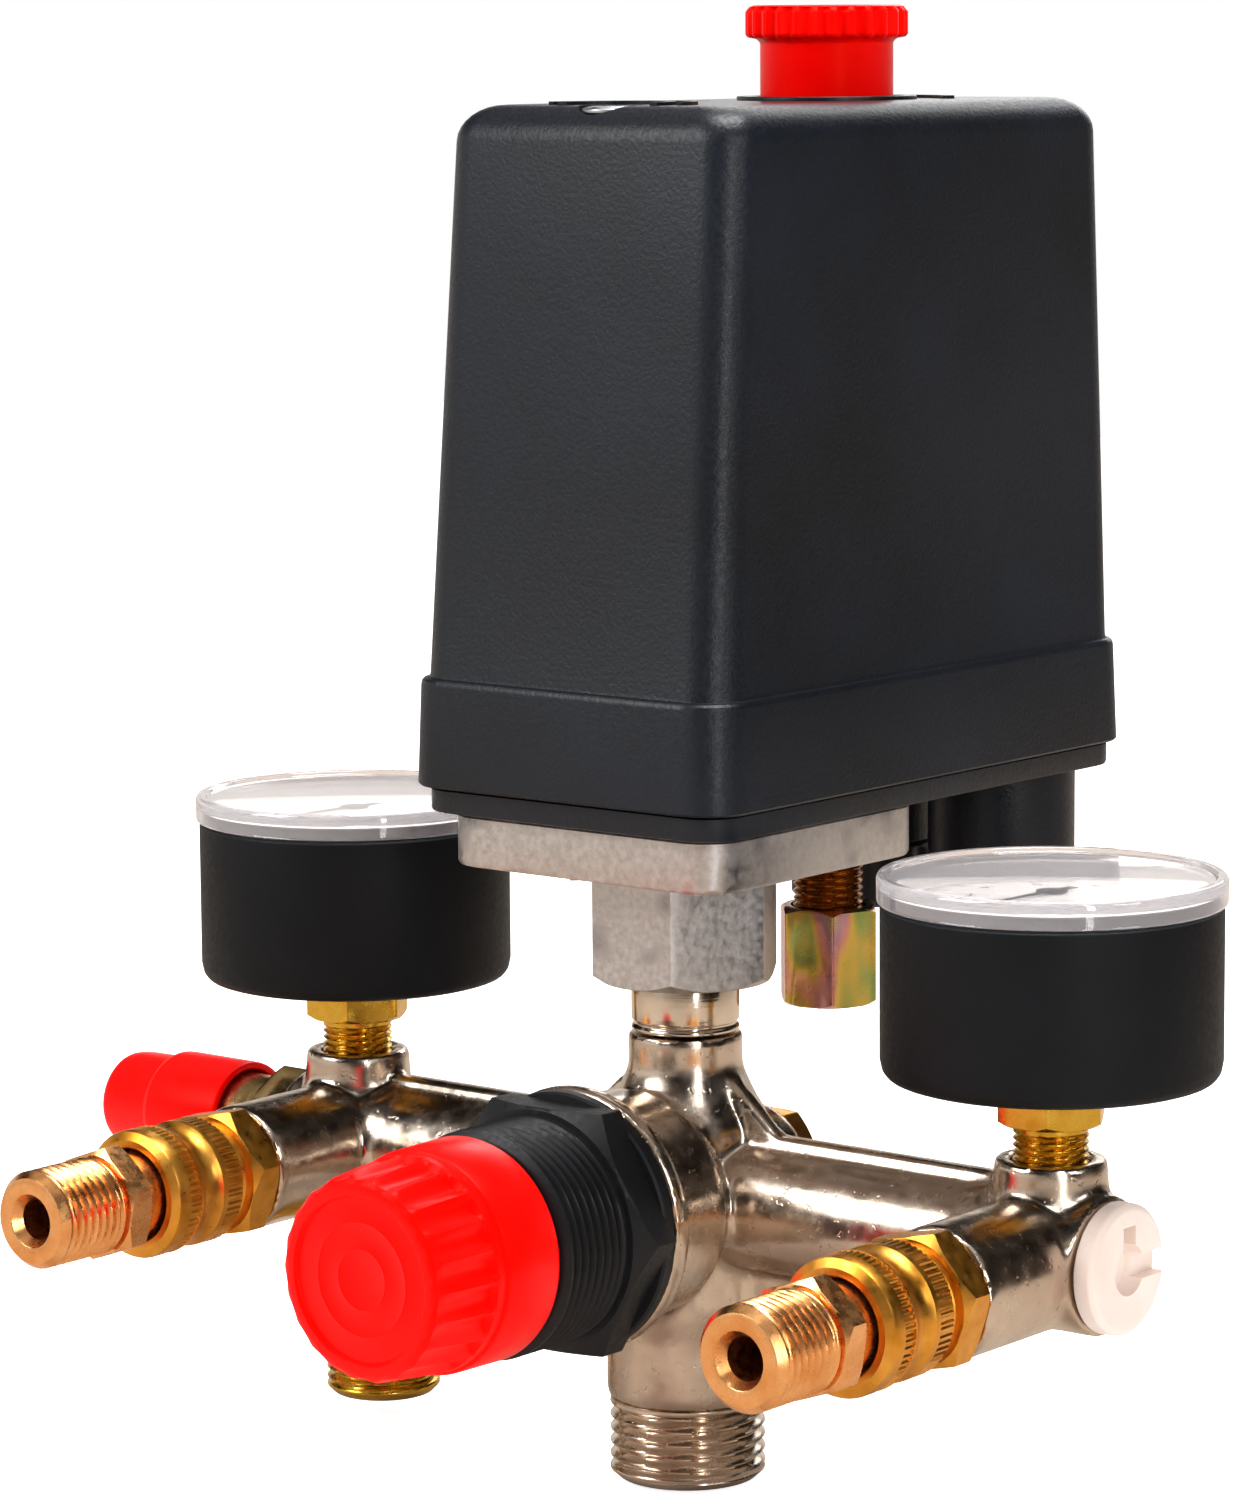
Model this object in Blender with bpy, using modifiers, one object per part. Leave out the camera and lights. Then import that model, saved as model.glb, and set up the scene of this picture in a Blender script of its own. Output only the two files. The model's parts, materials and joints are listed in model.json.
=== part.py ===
"""Air-compressor pressure switch with its manifold, regulator, gauges and couplers.

The origin is the centre of the tank thread's end face. +Z runs up the tank port and
the switch housing, +X along the manifold's bar to the right, and -Y towards the
regulator knob. Every length below is in millimetres, and MM turns it into metres.
"""

import math

import bmesh
import bpy
from mathutils import Matrix, Vector

MM = 0.001
MERGE = 0.00001
GAP = 0.3                      # clearance between two pieces that meet
HELPER_SEAM = math.radians(3)  # turns cutters' corners away from those of what they cut

# ---- driving dimensions -----------------------------------------------------------
TANK_THREAD_R = 10.4775       # G 1/2
QUARTER_THREAD_R = 6.58       # G 1/4
EIGHTH_THREAD_R = 4.86        # G 1/8
THREAD_CHAMFER = 0.9

BAR_Z = 38.5                  # axis of the bar, outlets and end ports
BAR_R = 8.5
BAR_END_R = 9.0
BAR_END_X = 67.8
PORT_X = 59.0                 # gauge and outlet axes, left and right of the tank port
ARM_BORE_R = 5.0
PORT_BORE_R = QUARTER_THREAD_R + GAP
GAUGE_STUB_TOP = 51.5
OUTLET_FACE_Y = -25.5
OUTLET_R = 8.7
NECK_R = 7.65
NECK_TOP = 61.0
LOWER_PORT_X = -55.0
LOWER_PORT_Z = 24.0

REG_Z = 39.5                  # regulator axis, along -Y
RIM_R = 17.5
RIM_FACE = 24.0
DIAPHRAGM_BORE_R = 13.4
DIAPHRAGM_SEAT = 16.0

FLANGE_SIDE = 46.0
FLANGE_Z = (84.2, 91.2)
BOSS_AF = 23.0
BOSS_Z = 68.0
SCREW_PITCH = 18.5            # flange screws, from the axis

BASE_X = 25.1
BASE_Y = (-25.5, 66.2)
BASE_Z = (91.5, 94.7)
COVER_X = (26.6, 25.3, 24.0)  # half widths at the skirt, above it, and at the top
COVER_Y = ((-27.0, 67.7), (-25.6, 66.5), (-19.9, 64.3))
COVER_Z = (95.0, 109.3, 184.0)
COVER_WALL = 2.0
COVER_CORNER_R = 6.0

KNOB_Y = 32.0                 # on/off knob and unloader valve
KNOB_TOP = 196.7
GLAND_X = 12.0
GLAND_Y = 56.5
GLAND_R = 10.3

LEVER_Z = 100.3
LEVER_T = 2.0
LEVER_PIN_Y = -17.0
CHASSIS_Z = (95.0, 96.6)

GAUGE_CASE_R = 21.75
GAUGE_CASE_Z = (61.7, 86.0)
LENS_R = 22.2
LENS_TOP = 88.0

DOWN = (0.0, 0.0, 0.0)
TO_FRONT = (math.pi / 2, 0.0, 0.0)       # local +Z becomes -Y
TO_LEFT = (0.0, -math.pi / 2, 0.0)       # local +Z becomes -X
TO_RIGHT = (0.0, math.pi / 2, 0.0)       # local +Z becomes +X

BLACK_ABS = ("black_abs", (0.022, 0.024, 0.027), 0.50, 0.0)
RED_ABS = ("red_abs", (0.85, 0.010, 0.006), 0.30, 0.0)
BLACK_NYLON = ("black_nylon", (0.015, 0.016, 0.018), 0.45, 0.0)
NICKEL = ("nickel_plated_zinc", (0.62, 0.56, 0.50), 0.22, 1.0)
ZINC = ("cast_zinc", (0.58, 0.55, 0.53), 0.42, 1.0)
BRASS = ("brass", (0.78, 0.47, 0.13), 0.24, 1.0)
STEEL = ("steel", (0.55, 0.56, 0.58), 0.35, 1.0)
YELLOW_ZINC = ("yellow_zinc", (0.62, 0.52, 0.22), 0.30, 1.0)
BLACK_PAINT = ("black_paint", (0.012, 0.013, 0.014), 0.45, 0.0)
CLEAR_LENS = ("clear_lens", (0.90, 0.92, 0.92), 0.08, 0.0)
WHITE_NYLON = ("white_nylon", (0.80, 0.70, 0.62), 0.50, 0.0)
WHITE_PAINT = ("white_paint", (0.85, 0.85, 0.82), 0.60, 0.0)
RUBBER = ("rubber", (0.03, 0.03, 0.03), 0.80, 0.0)
BAKELITE = ("bakelite", (0.12, 0.05, 0.02), 0.45, 0.0)
COPPER = ("copper", (0.75, 0.32, 0.18), 0.30, 1.0)


# ---- helpers ----------------------------------------------------------------------
def clear_scene():
    for old in list(bpy.data.objects):
        bpy.data.objects.remove(old, do_unlink=True)


def make_collection(name):
    collection = bpy.data.collections.new(name)
    bpy.context.scene.collection.children.link(collection)
    return collection


clear_scene()
PARTS = make_collection("pressure_switch")
HELPERS = make_collection("cutters")


def material(spec):
    name, colour, roughness, metallic = spec
    found = bpy.data.materials.get(name)
    if found:
        return found
    made = bpy.data.materials.new(name)
    made.use_nodes = True
    shader = made.node_tree.nodes["Principled BSDF"]
    shader.inputs["Base Color"].default_value = (*colour, 1.0)
    shader.inputs["Roughness"].default_value = roughness
    shader.inputs["Metallic"].default_value = metallic
    return made


def place(name, data, finish, at=(0, 0, 0), turn=DOWN):
    """Puts new data in the scene: a part with a finish, or a hidden helper without one."""
    piece = bpy.data.objects.new(name, data)
    piece.location = Vector(at) * MM
    piece.rotation_euler = turn
    if finish:
        data.materials.append(material(finish))
        PARTS.objects.link(piece)
    else:
        piece.hide_render = True
        piece.display_type = "WIRE"
        HELPERS.objects.link(piece)
    return piece


def turned(name, profile, finish=None, at=(0, 0, 0), turn=DOWN, steps=16, ring=False):
    """A lathe shape. profile lists (radius, height), down the outer side; ring closes it."""
    mesh = bpy.data.meshes.new(name)
    seam = 0.0 if finish else HELPER_SEAM
    points = [(r * math.cos(seam) * MM, r * math.sin(seam) * MM, z * MM) for r, z in profile]
    edges = [(i, i + 1) for i in range(len(points) - 1)]
    if ring:
        edges.append((len(points) - 1, 0))
    mesh.from_pydata(points, edges, [])
    piece = place(name, mesh, finish, at, turn)
    screw = piece.modifiers.new("lathe", "SCREW")
    screw.steps = steps
    screw.render_steps = steps
    screw.use_merge_vertices = True
    screw.merge_threshold = MERGE
    return piece


def rod(radius, low, high, at=(0, 0, 0), turn=DOWN, steps=16, name="helper", finish=None):
    profile = [(0, high), (radius, high), (radius, low), (0, low)]
    return turned(name, profile, finish, at, turn, steps)


def prism(across_flats, low, high, at=(0, 0, 0), turn=DOWN, sides=6, name="helper", finish=None):
    """A hexagon bar, with a corner on its local X axis."""
    mesh = bpy.data.meshes.new(name)
    body = bmesh.new()
    corner_r = across_flats / 2 / math.cos(math.pi / sides) * MM
    bmesh.ops.create_cone(body, cap_ends=True, segments=sides, radius1=corner_r,
                          radius2=corner_r, depth=(high - low) * MM)
    bmesh.ops.rotate(body, verts=body.verts, matrix=Matrix.Rotation(math.pi / 2, 3, "Z"))
    bmesh.ops.translate(body, verts=body.verts, vec=(0, 0, (low + high) / 2 * MM))
    body.to_mesh(mesh)
    body.free()
    return place(name, mesh, finish, at, turn)


def block(x_span, y_span, z_span, name="helper", finish=None, corner=0.0, segments=3):
    """A box from its spans, with its upright edges rounded if corner is given."""
    return tapered((x_span, y_span), (x_span, y_span), z_span, name, finish, corner, 0.0, segments)


def tapered(lower, upper, z_span, name="helper", finish=None, corner=0.0, top_round=0.0, segments=3):
    """A box whose top outline differs from its bottom one: each outline is (x_span, y_span)."""
    mesh = bpy.data.meshes.new(name)
    body = bmesh.new()
    bmesh.ops.create_cube(body, size=2.0)
    for vert in body.verts:
        x_span, y_span = upper if vert.co.z > 0 else lower
        vert.co.x = x_span[vert.co.x > 0] * MM
        vert.co.y = y_span[vert.co.y > 0] * MM
        vert.co.z = z_span[vert.co.z > 0] * MM
    if corner:
        upright = [e for e in body.edges if abs(e.verts[0].co.z - e.verts[1].co.z) > MERGE]
        bmesh.ops.bevel(body, geom=upright, offset=corner * MM, segments=segments,
                        profile=0.5, affect="EDGES")
    if top_round:
        top = z_span[1] * MM - MERGE
        rim = [e for e in body.edges if e.verts[0].co.z > top and e.verts[1].co.z > top]
        bmesh.ops.bevel(body, geom=rim, offset=top_round * MM, segments=3, profile=0.5,
                        affect="EDGES")
    body.to_mesh(mesh)
    body.free()
    return place(name, mesh, finish)


def plate_xz(outline, half_thickness):
    """A flat helper plate: an outline of (x, z) points, with equal thickness to each side of Y = 0."""
    mesh = bpy.data.meshes.new("web")
    body = bmesh.new()
    face = body.faces.new([body.verts.new((x * MM, half_thickness * MM, z * MM)) for x, z in outline])
    grown = bmesh.ops.extrude_face_region(body, geom=[face])["geom"]
    moved = [g for g in grown if isinstance(g, bmesh.types.BMVert)]
    bmesh.ops.translate(body, verts=moved, vec=(0, -2 * half_thickness * MM, 0))
    bmesh.ops.recalc_face_normals(body, faces=body.faces)
    body.to_mesh(mesh)
    body.free()
    return place("web", mesh, None)


def combine(piece, operation, helpers):
    """One exact Boolean of the piece with all the helpers at once, from a collection of them."""
    group = bpy.data.collections.new(f"{piece.name}_{operation.lower()}")
    HELPERS.children.link(group)
    for helper in helpers:
        HELPERS.objects.unlink(helper)
        group.objects.link(helper)
    step = piece.modifiers.new(operation.lower(), "BOOLEAN")
    step.operation = operation
    step.solver = "EXACT"
    step.operand_type = "COLLECTION"
    step.collection = group
    return piece


def join(piece, *helpers):
    return combine(piece, "UNION", helpers)


def cut(piece, *helpers):
    return combine(piece, "DIFFERENCE", helpers)


def wire(name, points, radius, finish, sides_level=1):
    """A round wire through points in millimetres, with closed ends."""
    curve = bpy.data.curves.new(name, "CURVE")
    curve.dimensions = "3D"
    curve.bevel_depth = radius * MM
    curve.bevel_resolution = sides_level
    curve.use_fill_caps = True
    line = curve.splines.new("POLY")
    line.points.add(len(points) - 1)
    for spot, point in zip(line.points, points):
        spot.co = (*(Vector(point) * MM), 1.0)
    return place(name, curve, finish)


def coil(name, low, high, mean_r, wire_r, turns, finish, frame):
    """A compression spring between two heights; frame turns (x, y, z) into part coordinates."""
    per_turn = 8
    count = int(turns * per_turn)
    start = low + wire_r
    rise = (high - low - 2 * wire_r) / count
    points = []
    for step in range(count + 1):
        angle = 2 * math.pi * step / per_turn
        spot = (mean_r * math.cos(angle), mean_r * math.sin(angle), start + rise * step)
        points.append(frame(*spot))
    return wire(name, points, wire_r, finish, 0)


# ---- manifold ---------------------------------------------------------------------
def manifold_body():
    """Die-cast manifold: tank port, switch neck, bar, gauge stubs, outlets and regulator seat."""
    column = [(0, NECK_TOP), (NECK_R, NECK_TOP), (NECK_R, 56), (9.3, 52.5), (11, 49.5), (11.7, 45),
              (11.7, 24.5), (10.85, 20.5), (10.85, 11.2), (TANK_THREAD_R, 11),
              (TANK_THREAD_R, THREAD_CHAMFER), (TANK_THREAD_R - THREAD_CHAMFER, 0), (0, 0)]
    body = turned("manifold_body", column, NICKEL, steps=20)
    bar = [(0, BAR_END_X), (BAR_END_R, BAR_END_X), (BAR_END_R, 50), (BAR_R, 49),
           (BAR_R, -49), (BAR_END_R, -50), (BAR_END_R, -BAR_END_X), (0, -BAR_END_X)]
    top_rib = [(-52, 44), (52, 44), (52, 48.6), (16, 48.6), (7, 55.5),
               (-7, 55.5), (-16, 48.6), (-52, 48.6)]
    lower_web = [(-36, 33), (-10, 19), (10, 19), (36, 33)]
    chamber = [(0, RIM_FACE), (RIM_R, RIM_FACE), (RIM_R, 21), (15.3, 20.4), (15.3, 11),
               (11.5, 6), (9.5, 2), (9.5, -15), (0, -15)]
    lumps = [turned("bar", bar, at=(0, 0, BAR_Z), turn=TO_RIGHT),
             plate_xz(top_rib, 1.5), plate_xz(lower_web, 1.5),
             turned("chamber", chamber, at=(0, 0, REG_Z), turn=TO_FRONT, steps=20),
             rod(8.9, LOWER_PORT_Z, BAR_Z, at=(LOWER_PORT_X, 0, 0))]
    for side in (-1, 1):
        stub = [(0, GAUGE_STUB_TOP), (7.2, GAUGE_STUB_TOP), (7.5, 42), (7.5, BAR_Z), (0, BAR_Z)]
        lumps.append(turned("stub", stub, at=(side * PORT_X, 0, 0)))
        lumps.append(rod(OUTLET_R, 0, -OUTLET_FACE_Y, at=(side * PORT_X, 0, BAR_Z), turn=TO_FRONT))
    join(body, *lumps)
    return cut(body, *manifold_bores())


def manifold_bores():
    """Tank bore, arm bores, regulator seat and transfer hole, then each port's own bore."""
    tank_bore = [(0, NECK_TOP + 1), (4.6, NECK_TOP + 1), (4.6, 27), (8, 25), (8, -1), (0, -1)]
    seat = [(0, 25), (DIAPHRAGM_BORE_R, 25), (DIAPHRAGM_BORE_R, DIAPHRAGM_SEAT),
            (12, DIAPHRAGM_SEAT), (12, 13.2), (2.2, 13.2), (2.2, 6), (5, 6), (5, -16), (0, -16)]
    bores = [turned("tank_bore", tank_bore),
             rod(ARM_BORE_R, 0, 70, at=(0, 0, BAR_Z), turn=TO_LEFT),
             rod(ARM_BORE_R, 9, 70, at=(0, 0, BAR_Z), turn=TO_RIGHT),
             turned("valve_bore", seat, at=(0, 0, REG_Z), turn=TO_FRONT, steps=20),
             rod(1.5, 1, 14, at=(10.2, 0, BAR_Z), turn=TO_FRONT, steps=12),
             rod(PORT_BORE_R, LOWER_PORT_Z - 1, BAR_Z - 3, at=(LOWER_PORT_X, 0, 0))]
    for side, end_port in ((-1, TO_LEFT), (1, TO_RIGHT)):
        gauge_port = [(0, 53), (EIGHTH_THREAD_R + GAP, 53), (EIGHTH_THREAD_R + GAP, 44.8),
                      (2.5, 44.8), (2.5, 40), (0, 40)]
        outlet = [(0, 27), (PORT_BORE_R, 27), (PORT_BORE_R, 14.5), (4.5, 14.5), (4.5, 1), (0, 1)]
        bores += [turned("gauge_port", gauge_port, at=(side * PORT_X, 0, 0)),
                  turned("outlet", outlet, at=(side * PORT_X, 0, BAR_Z), turn=TO_FRONT),
                  rod(PORT_BORE_R, 57.6, 70, at=(0, 0, BAR_Z), turn=end_port)]
    return bores


def lower_nipple():
    """Threaded brass outlet under the left arm."""
    profile = [(QUARTER_THREAD_R, 31.2), (QUARTER_THREAD_R, LOWER_PORT_Z - GAP), (8.6, LOWER_PORT_Z - GAP),
               (8.6, 18.5), (8.0, 18), (8.0, 3.6), (7.0, 2.6), (4.0, 2.6), (4.0, 31.2)]
    return turned("lower_outlet_nipple", profile, BRASS, at=(LOWER_PORT_X, 0, 0), ring=True)


def blanking_plug():
    """Nylon screw plug in the right-hand end port, with a keyhole-shaped tool recess."""
    head = BAR_END_X + GAP
    profile = [(0, 71), (7.9, 71), (8.45, 70.5), (8.45, head), (QUARTER_THREAD_R, head),
               (QUARTER_THREAD_R, 58), (0, 58)]
    plug = turned("blanking_plug", profile, WHITE_NYLON, at=(0, 0, BAR_Z), turn=TO_RIGHT, steps=24)
    return cut(plug, rod(3.2, 68.6, 72, at=(0, 0, BAR_Z), turn=TO_RIGHT),
               block((69.0, 72), (0, 9.5), (BAR_Z - 1.6, BAR_Z + 1.6)),
               block((68.8, 72), (-1.5, 1.5), (BAR_Z, BAR_Z + 5.2)))


def safety_valve():
    """Relief valve in the left-hand end port; its red cap is pulled to vent the tank."""
    place_it = {"at": (0, 0, BAR_Z), "turn": TO_LEFT}
    body = [(4.8, 92), (6.6, 92), (6.6, 74), (6.6, BAR_END_X + GAP), (QUARTER_THREAD_R, BAR_END_X + GAP),
            (QUARTER_THREAD_R, 58), (2.0, 58), (2.0, 72.7), (4.8, 72.7)]
    shell = turned("safety_valve_body", body, BRASS, ring=True, **place_it)
    collar = prism(15, BAR_END_X + GAP, 74, **place_it)
    join(shell, cut(collar, rod(5.4, 60, 80, **place_it)))
    cap = [(2.3, 104.6), (5.0, 104.6), (6.1, 103.4), (6.1, 94.4), (8.2, 93.6), (8.2, 80), (7.1, 80),
           (7.1, 92.8), (4.6, 93.2), (4.6, 102.6), (2.3, 102.6)]
    turned("safety_valve_cap", cap, RED_ABS, ring=True, **place_it)
    stem = [(0, 105.5), (1.6, 105.5), (2.0, 105.1), (2.0, 76), (4.4, 76), (4.4, 73), (0, 73)]
    turned("safety_valve_stem", stem, STEEL, steps=16, **place_it)
    coil("safety_valve_spring", 76.3, 88, 3.5, 0.5, 5, STEEL, lambda x, y, z: (-z, y, BAR_Z + x))


# ---- regulator --------------------------------------------------------------------
def regulator():
    """Diaphragm regulator: its axis runs along -Y, and distances are measured from the tank axis."""
    axis = {"at": (0, 0, REG_Z), "turn": TO_FRONT}
    rod(13.0, 16.3, 17.5, name="regulator_diaphragm", finish=RUBBER, steps=20, **axis)
    bonnet = [(4.4, 51), (10.5, 51), (10.5, 43), (14.0, 43), (15.0, 42), (15.0, 26), (17.2, 26),
              (17.2, RIM_FACE + GAP), (13.1, RIM_FACE + GAP), (13.1, 17.8), (9.6, 17.8),
              (9.6, 40), (4.4, 40)]
    shell = turned("regulator_bonnet", bonnet, BLACK_NYLON, steps=20, ring=True, **axis)
    join(shell, cut(prism(32, 25, 31, **axis), rod(12, 20, 35, **axis)))
    screw = [(0, 60), (3.9, 60), (3.9, 38.1 + 1.6), (6.5, 38.1 + 1.6), (6.5, 38.1),
             (3.6, 38.1), (3.6, 24), (0, 24)]
    spindle = turned("adjusting_screw", screw, STEEL, steps=16, **axis)
    join(spindle, prism(9.6, 52.3, 60, **axis))
    plate = [(3.9, 34), (9.2, 34), (9.2, 31), (3.9, 31)]
    turned("spring_plate", plate, STEEL, ring=True, **axis)
    coil("regulator_spring", 17.9, 30.7, 7.0, 0.9, 4, STEEL, lambda x, y, z: (x, -z, REG_Z + y))
    knob = [(0, 66), (12.9, 66), (14.7, 64.2), (14.7, 44.6), (14.2, 44), (11.2, 44), (11.2, 54), (0, 54)]
    cap = turned("regulator_knob", knob, RED_ABS, steps=24, **axis)
    cut(cap, prism(10.4, 53, 61.5, **axis))
    regulator_valve(axis)


def regulator_valve(axis):
    poppet = [(0, 16.0), (1.6, 16.0), (1.6, 5.7), (4.2, 5.7), (4.2, 2.7), (1.8, 2.7), (1.8, -9), (0, -9)]
    turned("regulator_poppet", poppet, BRASS, steps=16, **axis)
    coil("poppet_spring", -7, 2.4, 3.2, 0.4, 4, STEEL, lambda x, y, z: (x, -z, REG_Z + y))
    plug = [(0, -7.3), (4.7, -7.3), (4.7, -15.3), (8.2, -15.3), (8.2, -16.3), (0, -16.3)]
    stopper = turned("valve_plug", plug, BRASS, **axis)
    join(stopper, prism(15, -20, -16, **axis))
    cut(stopper, rod(2.2, -12, -6, **axis))


# ---- gauges -----------------------------------------------------------------------
def gauge(label, side):
    """Back-to-back identical 40 mm gauges, lying on their backs with the dials up."""
    here = {"at": (side * PORT_X, 0, 0)}
    low, high = GAUGE_CASE_Z
    stem = [(0, 76), (EIGHTH_THREAD_R, 76), (EIGHTH_THREAD_R, low - GAP), (6.2, low - GAP),
            (6.2, 56), (EIGHTH_THREAD_R, 56), (EIGHTH_THREAD_R, 45.2), (0, 45.2)]
    connector = turned(f"gauge_stem_{label}", stem, BRASS, **here)
    join(connector, prism(13, 56, low - GAP, **here))
    cut(connector, rod(1.2, 44, 74, steps=12, **here))
    case = [(20.2, high), (21.0, high), (21.0, 84.0), (GAUGE_CASE_R, 84.0), (GAUGE_CASE_R, low + 2),
            (GAUGE_CASE_R - 0.6, low + 0.6), (GAUGE_CASE_R - 2, low), (5.3, low),
            (5.3, low + 1.2), (20.2, low + 1.2)]
    turned(f"gauge_case_{label}", case, BLACK_PAINT, steps=24, ring=True, **here)
    dial = [(1.2, 81.0), (19.9, 81.0), (19.9, 80.2), (1.2, 80.2)]
    turned(f"gauge_dial_{label}", dial, WHITE_PAINT, steps=20, ring=True, **here)
    lens = [(0, 87.4), (20.5, 87.4), (20.8, LENS_TOP), (21.9, LENS_TOP), (LENS_R, 87.7), (LENS_R, 84.4),
            (21.3, 84.4), (21.3, 86.4), (0, 86.4)]
    turned(f"gauge_lens_{label}", lens, CLEAR_LENS, steps=24, **here)
    hub = [(0, 83), (2.2, 83), (2.2, 81.5), (0.8, 81.5), (0.8, 77), (0, 77)]
    pointer = turned(f"gauge_pointer_{label}", hub, BLACK_PAINT, steps=12, **here)
    centre = side * PORT_X
    join(pointer, block((centre - 0.7, centre + 0.7), (-15.5, 5.5), (82.0, 82.6)))
    sweep = [math.radians(a) for a in range(-70, 200, 22)]
    loop = [(centre + 13 * math.cos(a), 13 * math.sin(a), 72.5) for a in sweep]
    wire(f"bourdon_tube_{label}", [(centre + 5.5, -7.0, 72.5)] + loop, 1.5, COPPER)


# ---- quick couplers ---------------------------------------------------------------
def coupler(label, side):
    """Spring-sleeve quick coupler with the threaded nipple that it holds."""
    axis = {"at": (side * PORT_X, 0, BAR_Z), "turn": TO_FRONT}
    face = -OUTLET_FACE_Y + GAP
    body = [(4.6, 41.9), (6.6, 41.9), (6.6, 36), (7.4, 36), (7.4, 30.4), (7.4, face),
            (QUARTER_THREAD_R, face), (QUARTER_THREAD_R, 15), (2.5, 15), (2.5, 27), (4.6, 27)]
    socket = turned(f"coupler_body_{label}", body, BRASS, ring=True, **axis)
    join(socket, cut(prism(16.5, face, 30.4, **axis), rod(6.0, 20, 35, **axis)))
    sleeve = [(6.4, 46), (8.0, 46), (8.7, 45.3), (8.7, 41), (7.8, 40), (7.8, 37.4), (8.6, 36.6),
              (8.6, 32.9), (7.7, 32.9), (7.7, 38.5), (6.9, 38.5), (6.9, 44.3), (6.4, 44.3)]
    turned(f"coupler_sleeve_{label}", sleeve, BRASS, steps=20, ring=True, **axis)
    nipple = [(2.75, 65), (5.6, 65), (QUARTER_THREAD_R, 64), (QUARTER_THREAD_R, 53), (6.2, 53), (6.2, 49),
              (5.9, 49), (5.9, 42.3), (4.2, 42.3), (4.2, 29.5), (2.75, 29.5)]
    plug = turned(f"coupler_nipple_{label}", nipple, BRASS, ring=True, **axis)
    join(plug, cut(prism(13.8, 49, 53, **axis), rod(4.0, 45, 56, **axis)))


# ---- switch housing ---------------------------------------------------------------
def switch_mounting():
    """Nipple, die-cast flange and diaphragm: what joins the switch to the manifold's neck."""
    nipple = [(4.3, 80), (5.2, 79), (5.2, BOSS_Z - GAP), (7.25, BOSS_Z - GAP), (7.25, NECK_TOP + GAP),
              (4.3, NECK_TOP + GAP), (4.3, 50), (2, 50), (2, 80)]
    turned("switch_nipple", nipple, NICKEL, ring=True)
    half = FLANGE_SIDE / 2
    low, high = FLANGE_Z
    flange = block((-half, half), (-half, half), (low, high), "diaphragm_flange", ZINC, corner=5)
    join(flange, prism(BOSS_AF, BOSS_Z, low + 1))
    pocket = [(0, high + 1), (19.3, high + 1), (19.3, 89.7), (16, 89.7), (16, 87.4), (2, 87.4),
              (2, 82), (5.5, 81), (5.5, BOSS_Z - 1), (0, BOSS_Z - 1)]
    cut(flange, turned("pocket", pocket, steps=24))
    rod(18.8, 90.0, high, name="diaphragm", finish=RUBBER, steps=24)
    piston = [(0, 100), (5, 100), (5, 94), (10.4, 94), (10.4, 91.5), (0, 91.5)]
    turned("pressure_piston", piston, STEEL)
    for number, (x, y) in enumerate([(-1, -1), (1, -1), (1, 1), (-1, 1)], 1):
        spot = (x * SCREW_PITCH, y * SCREW_PITCH, 0)
        cut(flange, rod(2.2, 86, 93, at=spot, steps=12))
        screw = [(0, 99.4), (3.0, 99.4), (3.5, 98.8), (3.5, 96.9), (1.9, 96.9), (1.9, 86.5), (0, 86.5)]
        turned(f"flange_screw_{number}", screw, STEEL, at=spot, steps=12)


def switch_base():
    """Moulded base with a rim that the cover drops over, and two cable glands."""
    low, high = BASE_Z
    base = block((-BASE_X, BASE_X), BASE_Y, (low, high), "switch_base", BLACK_ABS, corner=5)
    inset = 0.9
    rim_y = (BASE_Y[0] + inset, BASE_Y[1] - inset)
    inner_y = (rim_y[0] + 1.8, rim_y[1] - 1.8)
    rim_x = BASE_X - inset
    rim = block((-rim_x, rim_x), rim_y, (high - 1, 101), corner=4.6)
    cut(rim, block((1.8 - rim_x, rim_x - 1.8), inner_y, (high - 2, 103), corner=3))
    join(base, rim)
    cut(base, rod(11, low - 1, high + 1), rod(5.2, low - 1, high + 1, at=(0, KNOB_Y, 0)))
    for x in (-SCREW_PITCH, SCREW_PITCH):
        for y in (-SCREW_PITCH, SCREW_PITCH):
            cut(base, rod(2.2, low - 1, high + 1, at=(x, y, 0), steps=12))
    for label, side in (("left", -1), ("right", 1)):
        spot = (side * GLAND_X, GLAND_Y, 0)
        join(base, rod(GLAND_R, 79, high - 0.5, at=spot))
        cut(base, rod(7.2, 78, high + 1, at=spot))
        nut = [(4.6, 78.7), (GLAND_R, 78.7), (GLAND_R, 71.2), (9.2, 70), (4.6, 70)]
        shell = turned(f"cable_gland_nut_{label}", nut, BLACK_NYLON, at=spot, ring=True)
        join(shell, cut(rod(6.9, 78, 86, at=spot), rod(4.9, 77, 87, at=spot)))
    return base


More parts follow.
